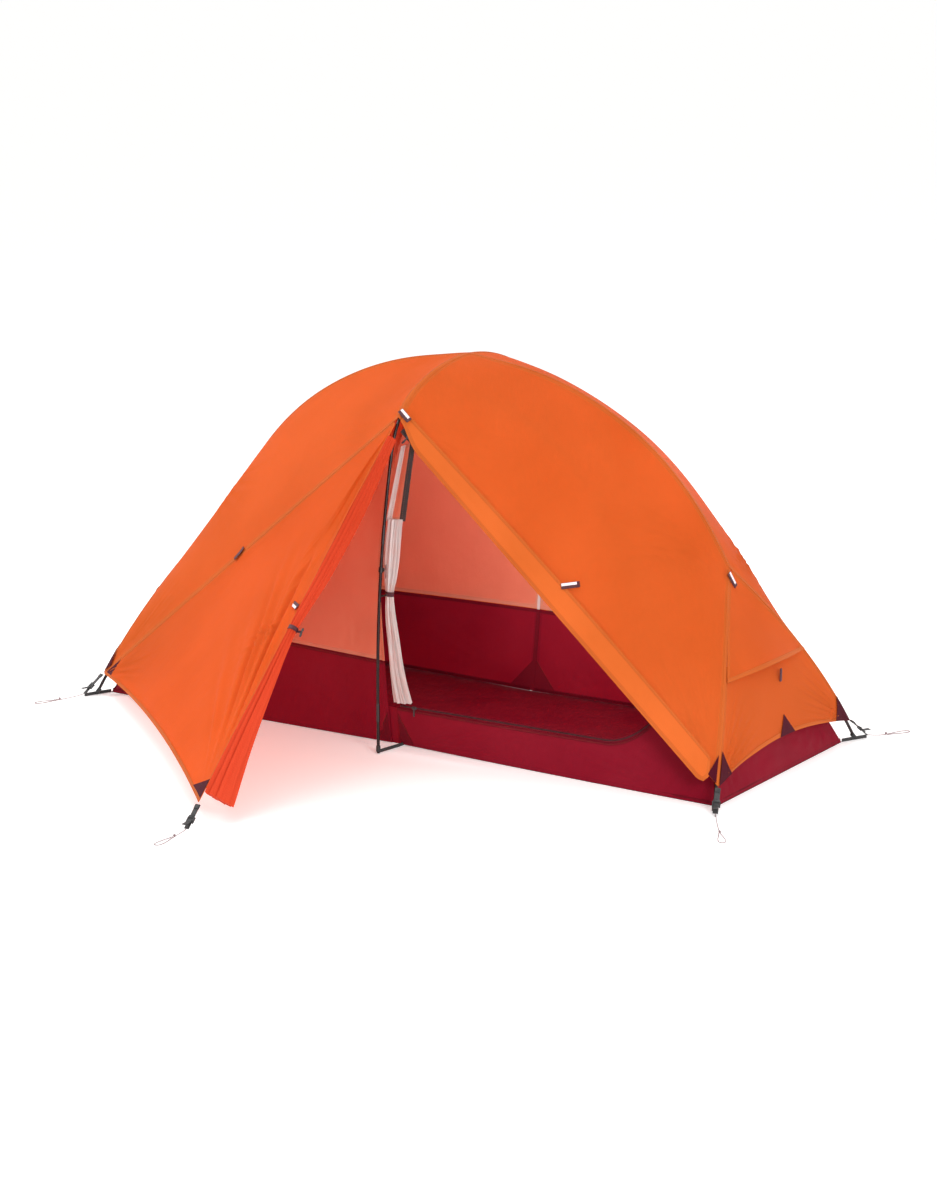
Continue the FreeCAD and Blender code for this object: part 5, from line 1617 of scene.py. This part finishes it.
def girdle(name, centre, axis, wide, width, depth, height, thickness, material):
    """A band round a gathered cloth."""
    rings = []
    axis = axis.normalized()
    wide = across(wide, axis)
    thick = axis.cross(wide)
    sides = 64
    profile = [(0, -1), (1, -1), (1, 1), (0, 1)]
    vertices, faces = [], []
    for k in range(sides):
        angle = 2 * math.pi * k / sides
        for out, up in profile:
            grown = out * thickness
            vertices.append(tuple(centre + wide * ((width / 2 + grown) * math.cos(angle))
                                  + thick * ((depth / 2 + grown) * math.sin(angle))
                                  + axis * (up * height / 2)))
    count = len(profile)
    for k in range(sides):
        after = (k + 1) % sides
        for i in range(count):
            j = (i + 1) % count
            faces.append((k * count + i, after * count + i, after * count + j, k * count + j))
    mesh = bpy.data.meshes.new(name)
    mesh.from_pydata(vertices, [], faces)
    work = bmesh.new()
    work.from_mesh(mesh)
    bmesh.ops.recalc_face_normals(work, faces=work.faces)
    work.to_mesh(mesh)
    work.free()
    layer = mesh.uv_layers.new(name="cut")
    for loop in mesh.loops:
        k, i = divmod(loop.vertex_index, count)
        layer.data[loop.index].uv = (profile[i][1] * height / 2, k / sides * math.pi * (width + depth) / 2)
    mesh.shade_smooth()
    mesh.set_sharp_from_angle(angle=math.radians(50))
    return mesh_object(name, mesh, material)


PORCH_ROLL = [(0.05, 0.026, 0.012), (0.25, 0.044, 0.018), (0.42, 0.040, 0.020), (0.56, 0.025, 0.019),
              (0.72, 0.044, 0.022), (0.86, 0.066, 0.024), (0.972, 0.090, 0.022)]
ROLL_WAY = Vector((0.5, 0.86, 0))       # the way the folded porch door spreads from the porch's edge
INNER_ROLL = [((0.024, -0.392, 0.672), 0.052, 0.024), ((0.018, -0.400, 0.560), 0.054, 0.024),
              ((0.016, -0.403, 0.500), 0.042, 0.022), ((0.014, -0.406, 0.457), 0.025, 0.018),
              ((0.024, -0.400, 0.300), 0.040, 0.026), ((0.036, -0.392, 0.190), 0.056, 0.030),
              ((0.044, -0.384, 0.137), 0.064, 0.034)]


class TENT_OT_doors(TentOperator, bpy.types.Operator):
    """Gather the porch door along the porch's edge and the inner door beside the doorway"""
    bl_idname = "tent.doors"
    bl_label = "Rolled doors"

    def execute(self, context):
        edge = (PORCH_TIP - PORCH_TOP).normalized()
        wide = across(ROLL_WAY, edge)
        length = (PORCH_TIP - PORCH_TOP).length
        sections = []
        for share, width, deep in PORCH_ROLL:
            centre = PORCH_TOP + edge * length * share + wide * (width / 2 - 0.003)
            sections.append((centre, edge, wide, width, deep))
        roll = lofted("porch_door_gather", folded_rings(sections, 9, 0.34), finish("roll"))
        settle(roll, ["porch_door_rolled"])
        share, width, deep = PORCH_ROLL[3]
        tie = PORCH_TOP + edge * length * share + wide * (width / 2 - 0.003)
        band = girdle("porch_door_tie", tie, edge, wide, width, deep, 0.012, 0.0016,
                      finish("red_webbing"))
        settle(band)
        low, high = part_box("porch_toggle")
        band_between("porch_toggle_loop", tie + wide * (width / 2), (low + high) / 2 - wide * 0.002, edge,
                     0.007, 0.0012, "red_webbing")

        sections = []
        for centre, width, deep in INNER_ROLL:
            sections.append((Vector(centre), Vector((0, 0, -1)), Vector((1, 0, 0)), width, deep))
        roll = lofted("inner_door_gather", folded_rings(sections, 8, 0.42), finish("mesh"))
        settle(roll, ["inner_door_rolled"])
        centre, width, deep = INNER_ROLL[3]
        band = girdle("inner_door_tie", Vector(centre), Vector((0.05, 0, 1)), Vector((1, 0, 0)), width,
                      deep, 0.013, 0.0016, finish("red_webbing"))
        settle(band)
        self.door_top()
        return {"FINISHED"}

    def door_top(self):
        """The free top of the inner door: a strip of cloth with a dark binding, down to the roll."""
        upper = [Vector((0.018, -0.350, 0.872)), Vector((0.070, -0.356, 0.894))]
        lower = [Vector((-0.004, -0.394, 0.664)), Vector((0.056, -0.388, 0.668))]
        grid = []
        for i in range(13):
            share = i / 12
            start, end = mix(upper[0], upper[1], share), mix(lower[0], lower[1], share)
            ripple = 0.003 * math.sin(2.2 * math.pi * share)
            grid.append([tuple(mix(end, start, j / 30) + Vector((0, ripple, 0))) for j in range(31)])
        strip_of_door = Sheet(grid, INSIDE)
        piece = closed_sheet("inner_door_top", strip_of_door, 0.0008, finish("canopy"))
        declare(piece, strip_of_door)
        settle(piece)
        for edge, cloth, width in (("right", "zip_tape", 0.017), ("left", "mesh", 0.016)):
            binding, stitches = edge_strip(f"inner_door_{edge}_binding", strip_of_door, edge, width, cloth,
                                           0.0012)
            settle(binding)
            keep_stitches("inner_stitching", stitches)


# --------------------------------------------------------------------------- zips
ZIP_DROP = 0.0135                       # from the porch's seam to the zip's teeth
SILL_STAND, SILL_RISE = 0.0032, 0.0085  # the door's zip over its wall and over the wall's edge


def zip_rows(name, line, outwards, half=0.0085, cloth="zip_tape"):
    """A zip along a line: its tape and its two rows of coil, with the tape's way up outwards."""
    tape_lines = [[], [], []]
    coils = [[], []]
    count = len(line)
    for i, point in enumerate(line):
        along = (line[min(i + 1, count - 1)] - line[max(i - 1, 0)]).normalized()
        out = across(outwards(i), along)
        side = along.cross(out)
        for row, reach in zip(tape_lines, (-half, 0.0, half)):
            row.append(tuple(point + side * reach))
        for row, reach in zip(coils, (-0.0011, 0.0011)):
            row.append(tuple(point + side * reach + out * 0.0009))
    tape = strip(f"{name}_band", tape_lines, 0.0009, finish(cloth))
    teeth = row_piece(f"{name}_coil", coils, "CAPSULE", finish("coil"),
                      bpy.context.scene.tent_cloth.tooth_pitch, 0.0017, 0.0021)
    settle(tape, [f"{name}_tape"])
    settle(teeth)


def slider_piece(name, centre, along, out, side):
    """A zip slider: a shield of metal over the coil, with a bridge for its pull."""
    place = place_at(centre, out, along)
    body = [place @ Vector(p) for p in [(-0.0078, -0.0046, z) for z in (-0.0022, 0.0030)]]
    solids = []
    for z_low, z_high, shrink in ((0.0012, 0.0032, 1.0), (-0.0032, -0.0014, 0.92)):
        outline = [(-0.0078, -0.0030), (-0.0050, -0.0047), (0.0040, -0.0047), (0.0078, -0.0026),
                   (0.0078, 0.0026), (0.0040, 0.0047), (-0.0050, 0.0047), (-0.0078, 0.0030)]
        solids.append([place @ Vector((x * shrink, y * shrink, z)) for x, y in outline
                       for z in (z_low, z_high)])
    solids.append(block(place, (0.0052, -0.0008, -0.0016), (0.0070, 0.0008, 0.0016)))
    for x in (-0.0045, 0.0030):
        solids.append(block(place, (x, -0.0013, 0.0030), (x + 0.0015, 0.0013, 0.0048)))
    solids.append(block(place, (-0.0045, -0.0013, 0.0044), (0.0045, 0.0013, 0.0056)))
    piece = joined_solids(f"{name}_slider_body", solids, finish("metal"), 0.0004)
    settle(piece, [f"{name}_slider"], f"{name}_slider")


def pull_piece(name):
    """A zip's pull: a tapered tab with a cord's hole and a grip."""
    low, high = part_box(f"{name}_pull")
    centre = (low + high) / 2
    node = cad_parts[f"{name}_pull"]
    points = np.array([tuple(vertex.co) for vertex in node.data.vertices])
    spread = points - points.mean(0)
    _, _, axes = np.linalg.svd(spread, full_matrices=False)
    down = Vector(axes[0]) * (-1 if axes[0][2] > 0 else 1)
    wide = Vector(axes[1])
    place = place_at(centre, down, wide)
    thick = 0.0009
    outline = [(-0.0024, -0.0128), (0.0024, -0.0128), (0.0019, -0.004), (0.0029, 0.006), (0.0029, 0.0112),
               (0.0016, 0.0128), (-0.0016, 0.0128), (-0.0029, 0.0112), (-0.0029, 0.006), (-0.0019, -0.004)]

    def tab(work):
        rings = []
        for y in (-thick, thick):
            rings.append([work.verts.new(place @ Vector((x, y, z))) for x, z in outline])
        count = len(outline)
        work.faces.new(rings[0])
        work.faces.new(rings[1][::-1])
        for i in range(count):
            j = (i + 1) % count
            work.faces.new((rings[0][j], rings[0][i], rings[1][i], rings[1][j]))
    grips = [block(place, (-0.0022, -thick * 1.5, z), (0.0022, thick * 1.5, z + 0.0010))
             for z in (0.0010, 0.0032, 0.0054, 0.0076)]
    piece = joined_solids(f"{name}_pull_tab", [tab] + grips, finish("metal"), 0.00025)
    settle(piece, [f"{name}_pull"], f"{name}_pull")


class TENT_OT_zips(TentOperator, bpy.types.Operator):
    """Set the porch's and the doorway's zips, with their sliders and pulls"""
    bl_idname = "tent.zips"
    bl_label = "Zips"

    def execute(self, context):
        top, foot = PORCH_TOP, corner("right", "front")
        along = (foot - top).normalized()
        hang = across(Vector((0, -0.25, -1)), along)
        start = top + along * 0.034 + hang * ZIP_DROP
        end = foot - along * 0.040 + hang * ZIP_DROP
        through = hang.cross(along)
        out = through * (-1 if through.y > 0 else 1)
        line = [mix(start, end, i / 80) for i in range(81)]
        zip_rows("porch_zip", line, lambda i: out)
        slider_piece("porch_zip", start + along * (0.022 + 0.008), along, out, hang)
        pull_piece("porch_zip")

        wall = long_wall("right", "front")
        low = door_low(wall)
        shares = [0.02 + (DOOR_END + 0.03 - 0.02) * i / 160 for i in range(161)]
        sill = [wall(share, low(share)) for share in shares]
        straight = [point for share, point in zip(shares, sill) if share <= DOOR_TURN]
        first, last = straight[0], straight[-1]
        bulge = max(mix(first, last, (point.x - first.x) / (last.x - first.x)).y - point.y
                    for point in straight)
        line = []
        for share, point in zip(shares, sill):
            if share <= DOOR_TURN:
                chord = mix(first, last, (point.x - first.x) / (last.x - first.x))
                line.append(chord + Vector((0, -bulge - SILL_STAND, SILL_RISE)))
            else:
                ease = smooth_step(np.array(share), DOOR_TURN, DOOR_TURN + 0.12)
                near = point + Vector((0, -0.004, SILL_RISE * 0.6))
                far = Vector((point.x, last.y - bulge - SILL_STAND, point.z + SILL_RISE))
                line.append(mix(far, near, float(ease)))
        zip_rows("door_zip", line, lambda i: Vector((0, -1, 0.1)), 0.0050,
                 "tub_seam")
        way = (line[8] - line[0]).normalized()
        slider_piece("door_zip", line[0] + way * (0.040 + 0.008), way, Vector((0, -1, 0)), UP)
        pull_piece("door_zip")
        return {"FINISHED"}


# --------------------------------------------------------------------------- patches, tabs and gussets
def corner_patch(name, surface, start, reach_u, reach_v, raise_by=0.0011, cloth="patch"):
    """A triangle of heavier cloth sewn into the corner of a panel."""
    grid = []
    steps = 14
    for i in range(steps + 1):
        column = []
        a = i / steps * 0.97
        for j in range(steps + 1):
            b = j / steps * (1 - a)
            column.append(tuple(surface(start[0] + reach_u * a, start[1] + reach_v * b)))
        grid.append(column)
    sheet = Sheet(grid, INSIDE)
    sheet.points = sheet.points + sheet.normals * raise_by
    piece = closed_sheet(name, sheet, 0.0009, finish(cloth), ())
    settle(piece)
    keep_stitches("fly_stitching", [(sheet.points + sheet.normals * 0.0002)[1:-3, -1]])


def guy_tab(name, centre, way, outward, length, width, reflective_side):
    """A folded guy tab: dark webbing with a bright strip along one side."""
    place = place_at(centre, outward, way)
    half = length / 2
    solids = [block(place, (-half, -width / 2, 0.0008), (half, width / 2, 0.0022))]
    loop = [place @ Vector((x, y, z)) for x, z in ((half - 0.002, 0.0006), (half + 0.006, 0.0018),
                                                   (half + 0.006, 0.0034), (half - 0.002, 0.0030))
            for y in (-width / 2, width / 2)]
    solids.append(loop)
    piece = joined_solids(f"guy_tab_{name}", solids, finish("red_webbing"), 0.0004)
    flat_uvs(piece, place)
    settle(piece)
    if not reflective_side:
        return
    low, high = (0.0, width / 2 - 0.0008) if reflective_side > 0 else (-width / 2 + 0.0008, 0.0)
    bright = joined_solids(f"guy_tab_strip_{name}",
                           [block(place, (-half + 0.001, low, 0.0022), (half - 0.001, high, 0.0029))],
                           finish("reflective"), 0.0002)
    settle(bright)


def flat_uvs(piece, place):
    """UVs in metres across and along a piece's own frame."""
    mesh = piece.data
    layer = mesh.uv_layers.new(name="cut")
    back = place.inverted()
    for loop in mesh.loops:
        point = back @ mesh.vertices[loop.vertex_index].co
        layer.data[loop.index].uv = (point.y, point.x)


def band_between(name, start, end, wide, width, thickness, material, sag=0.0):
    """A flat piece of webbing from one point to another."""
    along = (end - start).normalized()
    side = across(wide, along)
    face = along.cross(side)
    lines = [[], [], []]
    for i in range(25):
        share = i / 24
        point = mix(start, end, share) + Vector((0, 0, -4 * sag * share * (1 - share)))
        for line, reach in zip(lines, (-0.5, 0.0, 0.5)):
            line.append(tuple(point + side * (reach * width) + face * (thickness / 2)))
    sheet = Sheet(np.array(lines), np.array(mix(start, end, 0.5) - face))
    piece = closed_sheet(name, sheet, thickness, finish(material), ())
    settle(piece)
    return piece


class TENT_OT_trim(TentOperator, bpy.types.Operator):
    """Sew on the corner patches, guy tabs, gussets and webbing loops"""
    bl_idname = "tent.trim"
    bl_label = "Patches and tabs"

    def execute(self, context):
        trim = context.scene.tent_trim
        for end in ENDS:
            cap = end_fly(end)
            for side, u in (("front", 0.006), ("back", 0.994)):
                way = 1 if side == "front" else -1
                corner_patch(f"corner_patch_end_{side}_{end}", cap, (u, 0.0), way * 0.10, 0.15, 0.0045)
            corner_patch(f"corner_patch_front_{end}", front_fly(end), (0.995, 0.006), -0.024, 0.12, 0.0050)
            corner_patch(f"corner_patch_back_{end}", back_fly(end), (0.994, 0.0), -0.07, 0.09)
            corner_patch(f"hem_patch_{end}_front", cap, (0.545, 0.0), 0.055, 0.13)
            corner_patch(f"hem_patch_{end}_back", cap, (0.545, 0.0), -0.055, 0.13)
        corner_patch("corner_patch_porch_left", porch, (0.008, 0.0), 0.05, 0.06)
        corner_patch("corner_patch_porch_tip", porch, (0.992, 0.0), -0.085, 0.055)
        self.tabs(trim)
        self.gussets()
        self.pole_foot()
        return {"FINISHED"}

    def tabs(self, trim):
        """The guy tabs on the seams."""
        right, left = front_fly("right"), front_fly("left")
        spots = {
            "peak": (right(0.012, 0.050), (0.62, 0.10, -0.72), 1.0, 0.80),
            "door": (right(0.530, 0.105), (0.83, 0.55, 0.10), 1.0, 1.0),
            "porch_edge": (porch(0.955, 0.485), None, -1.0, 1.0),
            "porch_seam": (mix(PORCH_TOP, corner("left", "front"), 0.515), (0.50, 0.3, 0.80), 0.0, 0.85),
            "hub_right": (end_fly("right")(0.10, 0.95), (0.58, 0.39, -0.70), 1.0, 0.9),
            "hub_left": (end_fly("left")(0.10, 0.95), (-0.35, -0.55, -0.75), 1.0, 0.9),
            "back": (crest_point(1, 0.55, BACK_HEM_DISTANCE), (0.05, 0.4, -0.9), 1.0, 1.0),
        }
        for name, (centre, way, bright, share) in spots.items():
            outward = self.outward(name, centre)
            laid = Vector(way) if way else UP.cross(outward)
            guy_tab(name, centre + outward * 0.0042, laid, outward, trim.tab_length * share,
                    trim.tab_width, bright)

    def outward(self, name, centre):
        """The way out of the fly at a tab."""
        if name in ("peak", "door"):
            surface = front_fly("right")
            u = 0.04 if name == "peak" else 0.545
            first, second = surface(u + 0.02, 0.05) - surface(u, 0.05), surface(u, 0.09) - surface(u, 0.05)
        elif name in ("porch_edge", "porch_seam"):
            first, second = porch(0.6, 0.4) - porch(0.5, 0.4), porch(0.5, 0.5) - porch(0.5, 0.4)
        else:
            return (centre - INSIDE).normalized()
        normal = first.cross(second).normalized()
        return normal if normal.dot(centre - INSIDE) > 0 else -normal

    def gussets(self):
        """Triangles of heavier cloth where the hoop's feet are tied to the tub."""
        for side in ("front", "back"):
            for end in ENDS:
                wall = long_wall(end, side)
                inner = side == "back"
                start = (0.030 if side == "front" and end == "left" else 0.004)
                corner_patch(f"tub_gusset_{side}_{end}", wall, (start, 0.006), 0.075 if inner else 0.045, 0.072,
                             -0.0024 if inner else 0.0012, "tub_seam")

    def pole_foot(self):
        """The webbing that ties each foot of the hoop to the tub, and each corner of the floor down."""
        for side, way in SIDES.items():
            foot = hoop_point(way, HOOP_BENT + HOOP_STRAIGHT - 0.012, 0)
            hem = Vector((FRAME_X + 0.012, way * (FLOOR_Y - FLOOR_WAIST + 0.003), 0.004))
            band_between(f"hoop_foot_tie_{side}", hem, foot + Vector((0.004, 0, -0.004)), UP, 0.010, 0.0014,
                         "webbing")
            grip = foot + Vector((0, 0, 0.002))
            collar = girdle(f"hoop_foot_collar_{side}", grip, UP, Vector((1, 0, 0)), 0.0092, 0.0092, 0.016,
                            0.0018, finish("plastic"))
            settle(collar)
        for (end, side), leg in LEGS.items():
            start = Vector((ENDS[end] * (FLOOR_X - 0.001), SIDES[side] * (FLOOR_Y - 0.001), 0.005))
            top, foot, _ = anchor_lines()[f"{end}_{side}"]
            band_between(f"floor_corner_tie_{end}_{side}", start, foot - Vector((0, 0, 0.004)), UP, 0.010, 0.0014,
                         "webbing")
            collar = girdle(f"leg_foot_collar_{end}_{side}", leg.point(0.988, 0), leg.top - leg.foot,
                            Vector((1, 0, 0)), 0.0092, 0.0092, 0.018, 0.0018, finish("plastic"))
            settle(collar)
        down = HOOP_BENT - HOOP_ARCS[2][0] * math.radians(6.5)
        clip = hoop_point(-1, down, 0)
        tie = Vector(INNER_ROLL[3][0])
        for name, height in (("upper", 0.020), ("lower", -0.016)):
            end_point = Vector((tie.x - 0.004, tie.y - 0.012, clip.z + height - 0.012))
            band_between(f"hoop_clip_strap_{name}", clip + Vector((0.012, 0.008, 0)), end_point,
                         Vector((0, 0.3, 1)), 0.007, 0.0012, "red_webbing")


# --------------------------------------------------------------------------- corner webbing
class TENT_OT_webbing(TentOperator, bpy.types.Operator):
    """Thread the corner webbing through its ladder buckles"""
    bl_idname = "tent.webbing"
    bl_label = "Corner webbing"

    def execute(self, context):
        trim = context.scene.tent_trim
        for name, (top, foot, way) in anchor_lines().items():
            along = (foot - top).normalized()
            sideways = Vector((-way.y, way.x, 0))
            place = place_at(top, along, sideways)
            length = (foot - top).length
            piece = band_between(f"corner_webbing_{name}", top, foot, sideways, trim.strap_width,
                                 trim.strap_thickness, "webbing")
            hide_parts(f"strap_{name}")
            self.buckle(name, place, length * 0.62, trim)
            self.tail(name, place, length * 0.62, way, trim)
            head = [block(place, (-0.0075, -0.0024, -0.004), (0.0075, 0.0024, 0.009))]
            sewn = joined_solids(f"corner_webbing_head_{name}", head, finish("webbing"), 0.0008)
            flat_uvs(sewn, place)
            settle(sewn)
        return {"FINISHED"}

    def buckle(self, name, place, middle, trim):
        """A ladder buckle: two rails and three bars that the webbing goes between."""
        half, rail = 0.0115, 0.0034
        long = 0.009
        solids = []
        for side in (-1, 1):
            low, high = sorted((side * half, side * (half - rail)))
            solids.append(block(place, (low, -0.0026, middle - long), (high, 0.0026, middle + long)))
        for z, y in ((-0.0074, 0.0012), (0.0, -0.0030), (0.0074, 0.0012)):
            solids.append(block(place, (-half + 0.001, y, middle + z - 0.0016),
                                (half - 0.001, y + 0.0018, middle + z + 0.0016)))
        solids.append([place @ Vector((x, y, middle + z)) for x in (-0.009, 0.009)
                       for y, z in ((0.0012, -0.0090), (0.0030, -0.0086), (0.0046, -0.0126), (0.0034, -0.0132))])
        piece = joined_solids(f"ladder_buckle_{name}", solids, finish("plastic"), 0.0005)
        settle(piece, [f"buckle_{name}"], f"buckle_{name}")

    def tail(self, name, place, middle, way, trim):
        """The loose end of the webbing, hanging out of its buckle."""
        start = place @ Vector((0, -0.0038, middle))
        out = (place.to_3x3() @ Vector((0, -1, 0))).normalized()
        if out.dot(way) < 0:
            start = place @ Vector((0, 0.0038, middle))
            out = -out
        lines = [[], [], []]
        side = (place.to_3x3() @ Vector((1, 0, 0))).normalized()
        along = (place.to_3x3() @ Vector((0, 0, 1))).normalized()
        length = 0.034
        for i in range(21):
            share = i / 20
            point = start + along * length * share * 0.72 + out * (0.015 * math.sin(1.5 * share) * share)
            point.z = max(point.z, 0.004)
            for line, reach in zip(lines, (-0.5, 0.0, 0.5)):
                line.append(tuple(point + side * reach * trim.strap_width * 0.9))
        middle_point = Vector(lines[1][10])
        sheet = Sheet(np.array(lines), np.array(middle_point - out))
        piece = closed_sheet(f"corner_webbing_tail_{name}", sheet, trim.strap_thickness, finish("webbing"), ())
        settle(piece, (), f"buckle_{name}")


# --------------------------------------------------------------------------- toggles and struts
class TENT_OT_toggles(TentOperator, bpy.types.Operator):
    """Make the door toggles and the stiff tabs that prop the vents"""
    bl_idname = "tent.toggles"
    bl_label = "Toggles and vent props"

    def execute(self, context):
        for name in ("porch_toggle", "door_toggle"):
            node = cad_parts[name]
            points = np.array([tuple(vertex.co) for vertex in node.data.vertices])
            centre = Vector((points.min(0) + points.max(0)) / 2)
            _, _, axes = np.linalg.svd(points - points.mean(0), full_matrices=False)
            axis = Vector(axes[0])
            wide = across(Vector((0.3, 0.5, 0.8)), axis)
            other = axis.cross(wide)
            rings = []
            for i in range(33):
                share = -1 + 2 * i / 32
                end_round = math.sqrt(max(0.02, 1 - max(0.0, abs(share) - 0.78) ** 2 / 0.22 ** 2))
                waist = 1 - 0.28 * math.exp(-(share / 0.16) ** 2)
                reach = 0.003 * end_round * waist
                rings.append([tuple(centre + axis * (0.013 * share)
                                    + (wide * math.cos(2 * math.pi * k / 24)
                                       + other * math.sin(2 * math.pi * k / 24)) * reach)
                              for k in range(24)])
            piece = lofted(f"{name}_bar", rings, finish("plastic"))
            settle(piece, [name], name)
        for end in ENDS:
            name = f"vent_strut_{end}"
            low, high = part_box(name)
            place = Matrix.Translation((low + high) / 2)
            half = (high - low) / 2
            outline = []
            for i in range(24):
                angle = 2 * math.pi * i / 24
                y = half.y * math.copysign(abs(math.cos(angle)) ** 0.5, math.cos(angle))
                z = half.z * math.copysign(abs(math.sin(angle)) ** 0.25, math.sin(angle))
                outline.append((y, z))
            solid = [place @ Vector((x, y, z)) for y, z in outline for x in (-half.x, half.x)]
            piece = joined_solids(f"vent_prop_{end}", [solid], finish("red_webbing"), 0.0003)
            flat_uvs(piece, place)
            settle(piece, [name], name)
        return {"FINISHED"}


class TENT_OT_stitching(TentOperator, bpy.types.Operator):
    """Run the rows of stitches along every seam and binding"""
    bl_idname = "tent.stitching"
    bl_label = "Stitching"

    def execute(self, context):
        cloth = context.scene.tent_cloth
        for name, lines in STITCH_LINES.items():
            piece = row_piece(name, lines, "CAPSULE", finish("thread"), cloth.stitch_pitch, cloth.stitch,
                              cloth.stitch_width)
            settle(piece)
        return {"FINISHED"}


MAKERS = (TENT_OT_stage, TENT_OT_cords, TENT_OT_frame, TENT_OT_fly, TENT_OT_vents, TENT_OT_seams,
          TENT_OT_inner, TENT_OT_doors, TENT_OT_zips, TENT_OT_trim, TENT_OT_webbing, TENT_OT_toggles,
          TENT_OT_stitching)
SETTINGS = {"tent_colours": TentColours, "tent_cloth": TentCloth, "tent_trim": TentTrim,
            "tent_stage": TentStage}


class TENT_PT_panel(bpy.types.Panel):
    """The tent's settings and the buttons that make its pieces"""
    bl_idname = "TENT_PT_panel"
    bl_label = "One-person tent"
    bl_space_type = "VIEW_3D"
    bl_region_type = "UI"
    bl_category = "Tent"

    def draw(self, context):
        layout = self.layout
        for maker in MAKERS:
            layout.operator(maker.bl_idname)
        for name, group in SETTINGS.items():
            box = layout.box()
            for setting in group.__annotations__:
                box.prop(getattr(context.scene, name), setting)


def register():
    """Add the tent's settings, makers and panel to Blender."""
    for group in SETTINGS.values():
        bpy.utils.register_class(group)
    for maker in MAKERS + (TENT_PT_panel,):
        bpy.utils.register_class(maker)
    for name, group in SETTINGS.items():
        setattr(bpy.types.Scene, name, bpy.props.PointerProperty(type=group))


def unregister():
    """Take them away again."""
    for name in SETTINGS:
        delattr(bpy.types.Scene, name)
    for maker in reversed(MAKERS + (TENT_PT_panel,)):
        bpy.utils.unregister_class(maker)
    for group in SETTINGS.values():
        bpy.utils.unregister_class(group)


def main():
    """Make every piece in order."""
    register()
    for maker in MAKERS:
        group, name = maker.bl_idname.split(".")
        getattr(getattr(bpy.ops, group), name)()


if __name__ == "__main__":
    main()
